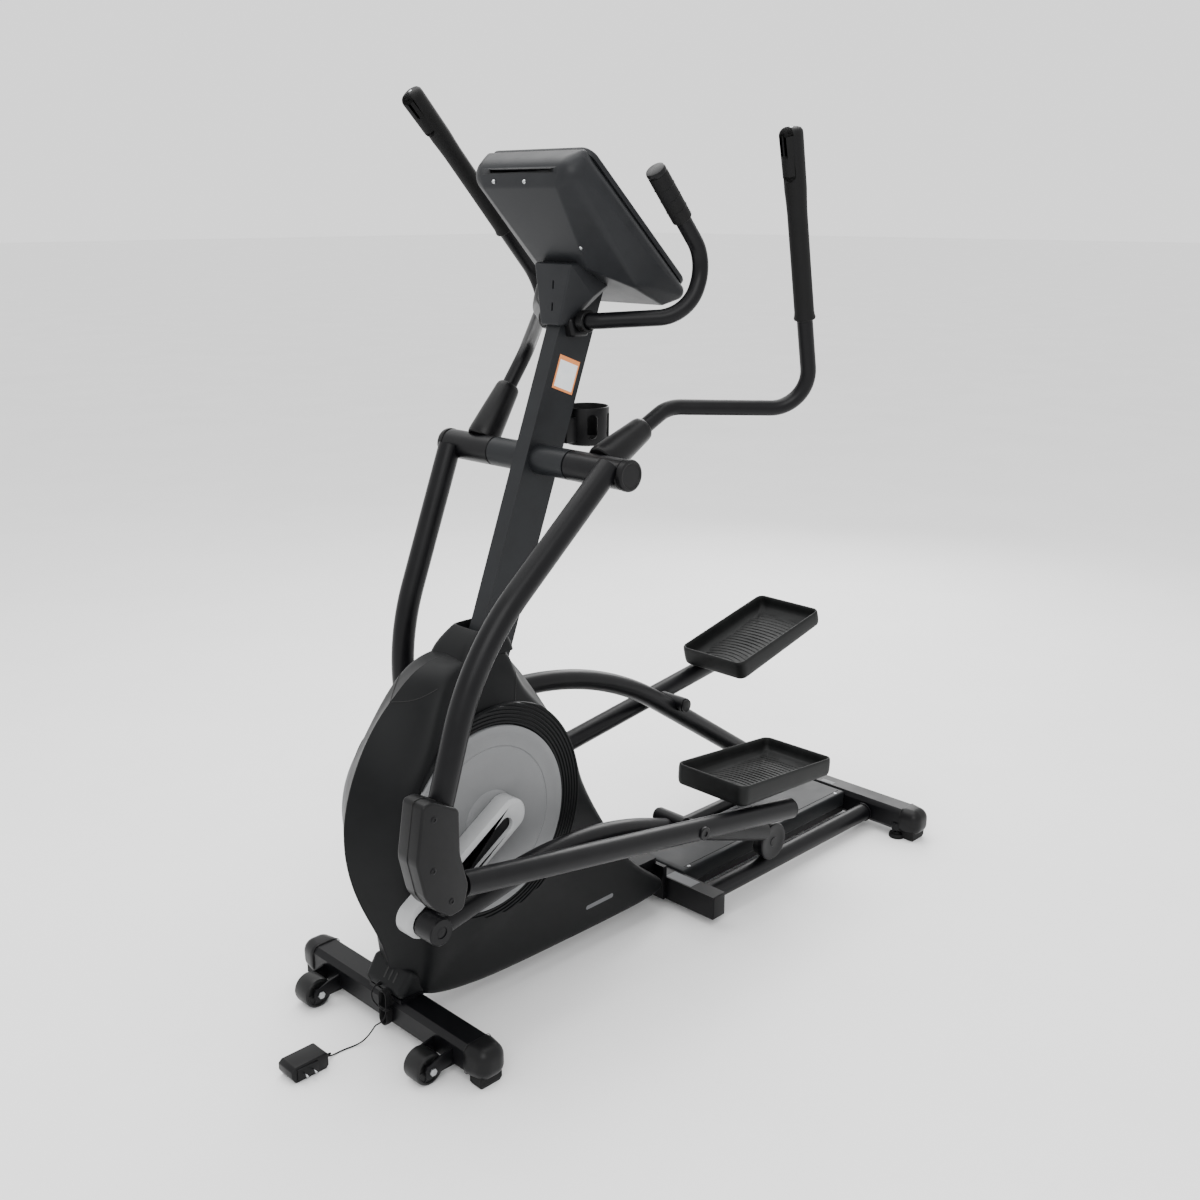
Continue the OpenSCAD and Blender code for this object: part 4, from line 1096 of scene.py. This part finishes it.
def make_pulse_bar():
    mirrored = [(x, -y, z) for x, y, z in BAR_CORNERS[1:]][::-1]
    bm = bmesh.new()
    pipe(bm, rounded_path([*mirrored, *BAR_CORNERS[1:]], 80, 16), BAR_R, 36)
    piece("pulse_bar_tube", bm, MACHINE, powder_coat, "frame", ["pulse_bar"])
    foam = bmesh.new()
    caps = bmesh.new()
    plates = bmesh.new()
    for s in (-1, 1):
        top = Vector(BAR_CORNERS[4]) * Vector((1, s, 1))
        low = Vector(BAR_CORNERS[3]) * Vector((1, s, 1))
        u = (top - low).normalized()
        lie = along(top - 112 * u, top)
        grip = [(16.1, 0), (18.6, 0), (19.8, 1.4), (20, 4), (20, 104), (19.6, 107), (16.1, 107)]
        turned(foam, grip, 56, lie, axis="Z")
        cap = [(16.1, 107.4), (19.4, 107.4), (20, 108.4), (20, 114), (18.6, 117), (14, 118.6), (0, 119)]
        turned(caps, [*cap, (0, 112), (16.1, 112)], 56, lie, axis="Z")
        for start in (-52, 128):
            a0, a1 = math.radians(start), math.radians(start + 104)
            turns = [a0 + (a1 - a0) * k / 12 for k in range(13)]
            run = [(20.3 * math.cos(t), 20.3 * math.sin(t)) for t in turns]
            for k in range(3):
                pipe(plates, [lie @ Vector((x, y, 26 + 26 * k)) for x, y in run], 0.7, 8)
    piece("pulse_grip_sleeves", foam, MACHINE, grip_rubber, "frame", ["pulse_grips"])
    piece("pulse_grip_caps", caps, MACHINE, cover_abs, "frame")
    piece("pulse_grip_ridges", plates, MACHINE, cover_abs, "frame")
    bm = bmesh.new()
    for s in (-1, 1):
        spot = Matrix.Translation((486, 0, 1376))
        a, b = sorted((s * 44, s * 62))
        turned(bm, [(16.4, a), (20.5, a), (21.5, a + 1), (21.5, b - 1), (20.5, b), (16.4, b)], 48, spot)
    piece("pulse_bar_collars", bm, MACHINE, cover_abs, "frame")
    bm = rounded_hull([(470, -34, 1352, 7), (500, -34, 1352, 7), (470, 34, 1352, 7), (500, 34, 1352, 7),
                       (466, -30, 1376, 7), (504, -30, 1376, 7), (466, 30, 1376, 7), (504, 30, 1376, 7)])
    piece("pulse_bar_clamp", bm, MACHINE, cover_abs, "frame", sharp=25)


def make_bottle_holder():
    bm = bmesh.new()
    wall = [(0, 1122), (40, 1122), (44, 1124), (45.4, 1130), (46, 1196), (45.4, 1199), (44, 1200),
            (42.4, 1199),
            (42, 1196), (41.6, 1132), (38, 1126), (0, 1126)]
    turned(bm, wall, 72, Matrix.Translation((540, 0, 0)), axis="Z")
    for angle in (60, 120, 240, 300, 0):
        window = bmesh.new()
        plate(window, [(x, z + 1162) for z, x in stadium(-14, 14, 11)], 30, 60)
        window.transform(Matrix.Translation((540, 0, 0)) @ Matrix.Rotation(math.radians(angle - 90), 4, "Z"))
        bm = cut(bm, window)
    back = bmesh.new()
    block(back, (468, -14, 1130), (499, 14, 1182))
    soften(back, 3, 3)
    add_mesh(bm, back)
    piece("bottle_cage", bm, MACHINE, cover_abs, "frame", ["bottle_holder"], sharp=30)


make_console()
make_bracket_cover()
make_pulse_bar()
make_bottle_holder()


# ---- base: caps, wheels, feet, nose, rail cover ----
def make_caps():
    spare = ["stabiliser_caps"]
    for x, place in ((0, "front"), (1467, "rear")):
        for side, s in SIDES.items():
            bm = rounded_hull([(x + dx, s * 256, 50 + dz, 24) for dx in (-12.5, 12.5) for dz in (-10.5,
                                                                                                 10.5)] +
                              [(x + dx, s * 276, 50 + dz, 26) for dx in (-8, 8) for dz in (-8, 8)])
            inner = bmesh.new()
            block(inner, (x - 60, min(s * 200, s * 250), 0), (x + 60, max(s * 200, s * 250), 100))
            bm = cut(bm, inner)
            piece(f"stabiliser_cap_{place}_{side}", bm, MACHINE, cover_abs, "frame", spare,
                  sharp=25)
            spare = []
            bm = rounded_hull([(x + dx, s * y, z, 3) for dx in (-24, 24) for y in (258, 286) for z in (9,
                                                                                                       26)] +
                              [(x + dx, s * y, 3.2, 3) for dx in (-21, 21) for y in (262, 284)])
            piece(f"stabiliser_foot_{place}_{side}", bm, MACHINE, grip_rubber, "frame", sharp=25)
            # painted shade: a near-black ring where the cap meets the bar, standing in for the shade in that
            # gap
            bm = bmesh.new()
            pipe(bm, [(x + dx, s * 249.6, 50 + dz) for dx, dz in [*rounded_box(67, 64, 12), (33.5, 20)]],
                 0.8, 8)
            piece(f"stabiliser_seam_shade_{place}_{side}", bm, MACHINE, shadow_gap, "frame")


def make_transport_wheel(side):
    bm = bmesh.new()
    tyre = [(6.3, 161.4), (11, 161.4), (12, 164), (24, 164), (25.5, 161.4), (28.5, 161.4), (31, 163.5),
            (32, 168),
            (32, 200), (31, 204.5), (28.5, 206.6), (25.5, 206.6), (24, 204), (12, 204), (11, 206.6),
            (6.3, 206.6)]
    turned(bm, tyre, 64, Matrix.Translation((-80, 0, 32.5)))
    for k in range(6):
        a = math.radians(60 * k)
        spoke = Matrix.Translation((-80, 0, 32.5)) @ Matrix.Rotation(a, 4, "Y")
        part = bmesh.new()
        block(part, (11, 162.2, -1.6), (25, 205.8, 1.6))
        soften(part, 0.6, 2)
        part.transform(spoke)
        add_mesh(bm, part)
    piece(f"transport_wheel_tyre_{side}", bm, OUTWARD[side], nylon, f"{side}_transport_wheel",
          [f"transport_wheel_{side}"])
    bm = bmesh.new()
    for y in (156.5, 211.5):
        outline = [(-96, 26), (-90, 20), (-72, 20), (-22, 34), (-22, 62), (-60, 56), (-90, 46), (-96, 40)]
        plate(bm, outline, y - 2.4, y + 2.4)
    soften(bm, 1.2, 2)
    piece(f"wheel_bracket_{side}", bm, OUTWARD[side], powder_coat, "frame")
    bm = bmesh.new()
    for y in (154, 214):
        spot = Matrix.Translation((-80, 0, 32.5))
        turned(bm, [(0, y - 3.4), (7.6, y - 3.4), (8.2, y - 2.4), (8.2, y + 2.4), (7.6, y + 3.4),
                    (0, y + 3.4)], 6, spot)
    piece(f"wheel_bolts_{side}", bm, OUTWARD[side], zinc, "frame")


def make_levelling_foot(side):
    spot = Matrix.Translation((1445, SIDES[side] * 238, 0))
    bm = bmesh.new()
    foot = [(0, 0.2), (19, 0.2), (21, 1.6), (21, 9), (19.6, 11.4), (12, 12), (9, 16), (0, 16)]
    turned(bm, foot, 24, spot, axis="Z")
    soften(bm, 0.3, 1, over=14)
    piece(f"levelling_pad_{side}", bm, MACHINE, grip_rubber, f"{side}_levelling_foot",
                 [f"levelling_foot_{side}"], sharp=20)
    bm = bmesh.new()
    thread = [(0, 12), (4, 12)]
    z = 12.5
    while z < 41:
        thread += [(4.4, z), (3.9, z + 0.6)]
        z += 1.25
    turned(bm, [*thread, (4, 42), (0, 42)], 24, spot, axis="Z")
    piece(f"levelling_stud_{side}", bm, MACHINE, zinc, f"{side}_levelling_foot")


def make_nose():
    bm = rounded_hull(both([(-20, 46, 103, 15), (0, 50, 130, 14), (50, 50, 118, 12), (50, 56, 98, 9)]))
    low = bmesh.new()
    block(low, (-60, -100, 60), (100, 100, 88.2))
    bm = cut(bm, low)
    piece("nose_moulding", bm, MACHINE, shroud_abs, "frame", ["nose_cover"], sharp=25)
    # painted shade: three thin near-black slot plates laid on the hood stand in for the shade inside its vent
    # slots; no slots are cut
    bm = bmesh.new()
    for k in range(3):
        part = bmesh.new()
        plate(part, stadium(-9, 9, 2.2), -0.5, 0.5)
        lean = Matrix.Rotation(math.radians(-53.5), 4, "Y") @ Matrix.Rotation(math.radians(90), 4, "X")
        part.transform(Matrix.Translation((-21.6, -26 + 15 * k, 125.1)) @ lean)
        add_mesh(bm, part)
    piece("nose_vent_shade", bm, MACHINE, shadow_gap, "frame")


def make_rail_cover():
    bm = bmesh.new()
    block(bm, (782.5, -75, 40), (1434, 75, 81))
    soften(bm, 4, 4)
    for k in range(2):
        groove = bmesh.new()
        block(groove, (800, -61 + 120 * k, 79.6), (1425, -59 + 120 * k, 90))
        bm = cut(bm, groove)
    piece("rail_cover_moulding", bm, MACHINE, mast_coat, "frame", ["rail_cover"], sharp=25)
    bm = bmesh.new()
    for x in (812, 1404):
        for y in (-66, 66):
            screw(bm, (x, y, 81), 4.5, "Z")
    piece("rail_cover_screws", bm, MACHINE, zinc, "frame")
    bm = bmesh.new()
    for s in (-1, 1):
        for x in (786, 1428):
            spot = Matrix.Translation((x, s * 141, 44)) @ Matrix.Rotation(math.radians(90), 4, "Y")
            turned(bm, [(22, -3), (24.5, -3), (25, -1), (23.4, 2.6), (22, 3)], 48, spot, axis="Z")
    piece("track_weld_rings", bm, MACHINE, powder_coat, "frame")
    for s, side in ((-1, "left"), (1, "right")):
        bm = bmesh.new()
        spot = Matrix.Translation((782, s * 141, 44)) @ Matrix.Rotation(math.radians(90), 4, "Y")
        turned(bm, [(0, 0), (22.3, 0), (22.3, 652), (0, 652)], 64, spot, axis="Z")
        piece(f"track_tube_{side}", bm, MACHINE, powder_coat, "frame")
    for side, s in SIDES.items():
        bm = bmesh.new()
        part = rounded_box(54, 38, 5)
        plate(bm, [(761 + x * 38 / 54, 48 + y * 54 / 38) for x, y in part], 200.5, 204.5)
        soften(bm, 1.4, 3)
        piece(f"crossbar_plug_{side}", bm, OUTWARD[side], cover_abs, "frame")


def make_labels():
    bm = bmesh.new()
    block(bm, (744, -132, 75.9), (776, -54, 76.4))
    soften(bm, 0.15, 1)
    piece("crossbar_strip", bm, MACHINE, decal_vinyl, "frame")
    bm = bmesh.new()
    block(bm, (1446, -26, 80.9), (1462, 14, 81.5))
    soften(bm, 0.15, 1)
    piece("rear_bar_strip", bm, MACHINE, decal_vinyl, "frame")
    mast_face = Matrix.Translation((399, 0, 1110)) @ Matrix.Rotation(math.radians(20.8), 4, "Y")
    bm = bmesh.new()
    block(bm, STICKER[0], STICKER[1])
    soften(bm, 0.3, 1)
    piece("mast_label_border", bm, MACHINE @ mast_face, label_border, "frame")
    bm = bmesh.new()
    a, b = Vector(STICKER[0]), Vector(STICKER[1])
    block(bm, (a.x + 4, a.y - 0.15, a.z + 5), (b.x - 4, b.y, b.z - 9))
    soften(bm, 0.1, 1)
    piece("mast_label_field", bm, MACHINE @ mast_face, label_paper, "frame")
    for side in SIDES:
        bm = bmesh.new()
        s = SIDES[side]
        bm.faces.new([bm.verts.new((500 + x, s * 100, 112 + z)) for x, z in stadium(-38, 38, 5)])
        bmesh.ops.triangulate(bm, faces=bm.faces)
        bmesh.ops.subdivide_edges(bm, edges=bm.edges, cuts=6, use_grid_fill=True)
        bm.transform(MACHINE)
        tree = surface_of(bpy.data.objects[f"shroud_{side}_shell"])
        for v in bm.verts:
            hit, normal, _, _ = tree.ray_cast(v.co + Vector((0, s * 0.2, 0)), Vector((0, -s, 0)))
            if hit is not None:
                v.co = hit + normal * 0.0004
        piece(f"shroud_strip_{side}", bm, Matrix.Identity(4), decal_vinyl, "frame")


STICKER = ((-26, -19.6, 139), (32, -18.6, 207))
make_caps()
for side in SIDES:
    make_transport_wheel(side)
    make_levelling_foot(side)
make_nose()
make_rail_cover()
make_labels()


# ---- the CAD pieces that keep their shape ----
KEPT = {"front_stabiliser": powder_coat, "rear_stabiliser": powder_coat, "main_frame": powder_coat,
        "rail_frame": powder_coat, "mast": mast_coat, "swing_shaft": turned_steel, "swing_bushes": bronze,
        "crank_bearings": turned_steel, "crank_axle": turned_steel, "drive_belt": grip_rubber,
        "servo_motor": cover_abs, "drive_pulley": disc_abs, "crank_arms": powder_coat, "flywheel": cast_iron,
        "brake_arm": powder_coat, "roller_axle_left": turned_steel, "roller_axle_right": turned_steel}
for name, material in KEPT.items():
    slots = bpy.data.objects[name].material_slots
    for spot in slots:
        spot.material = material
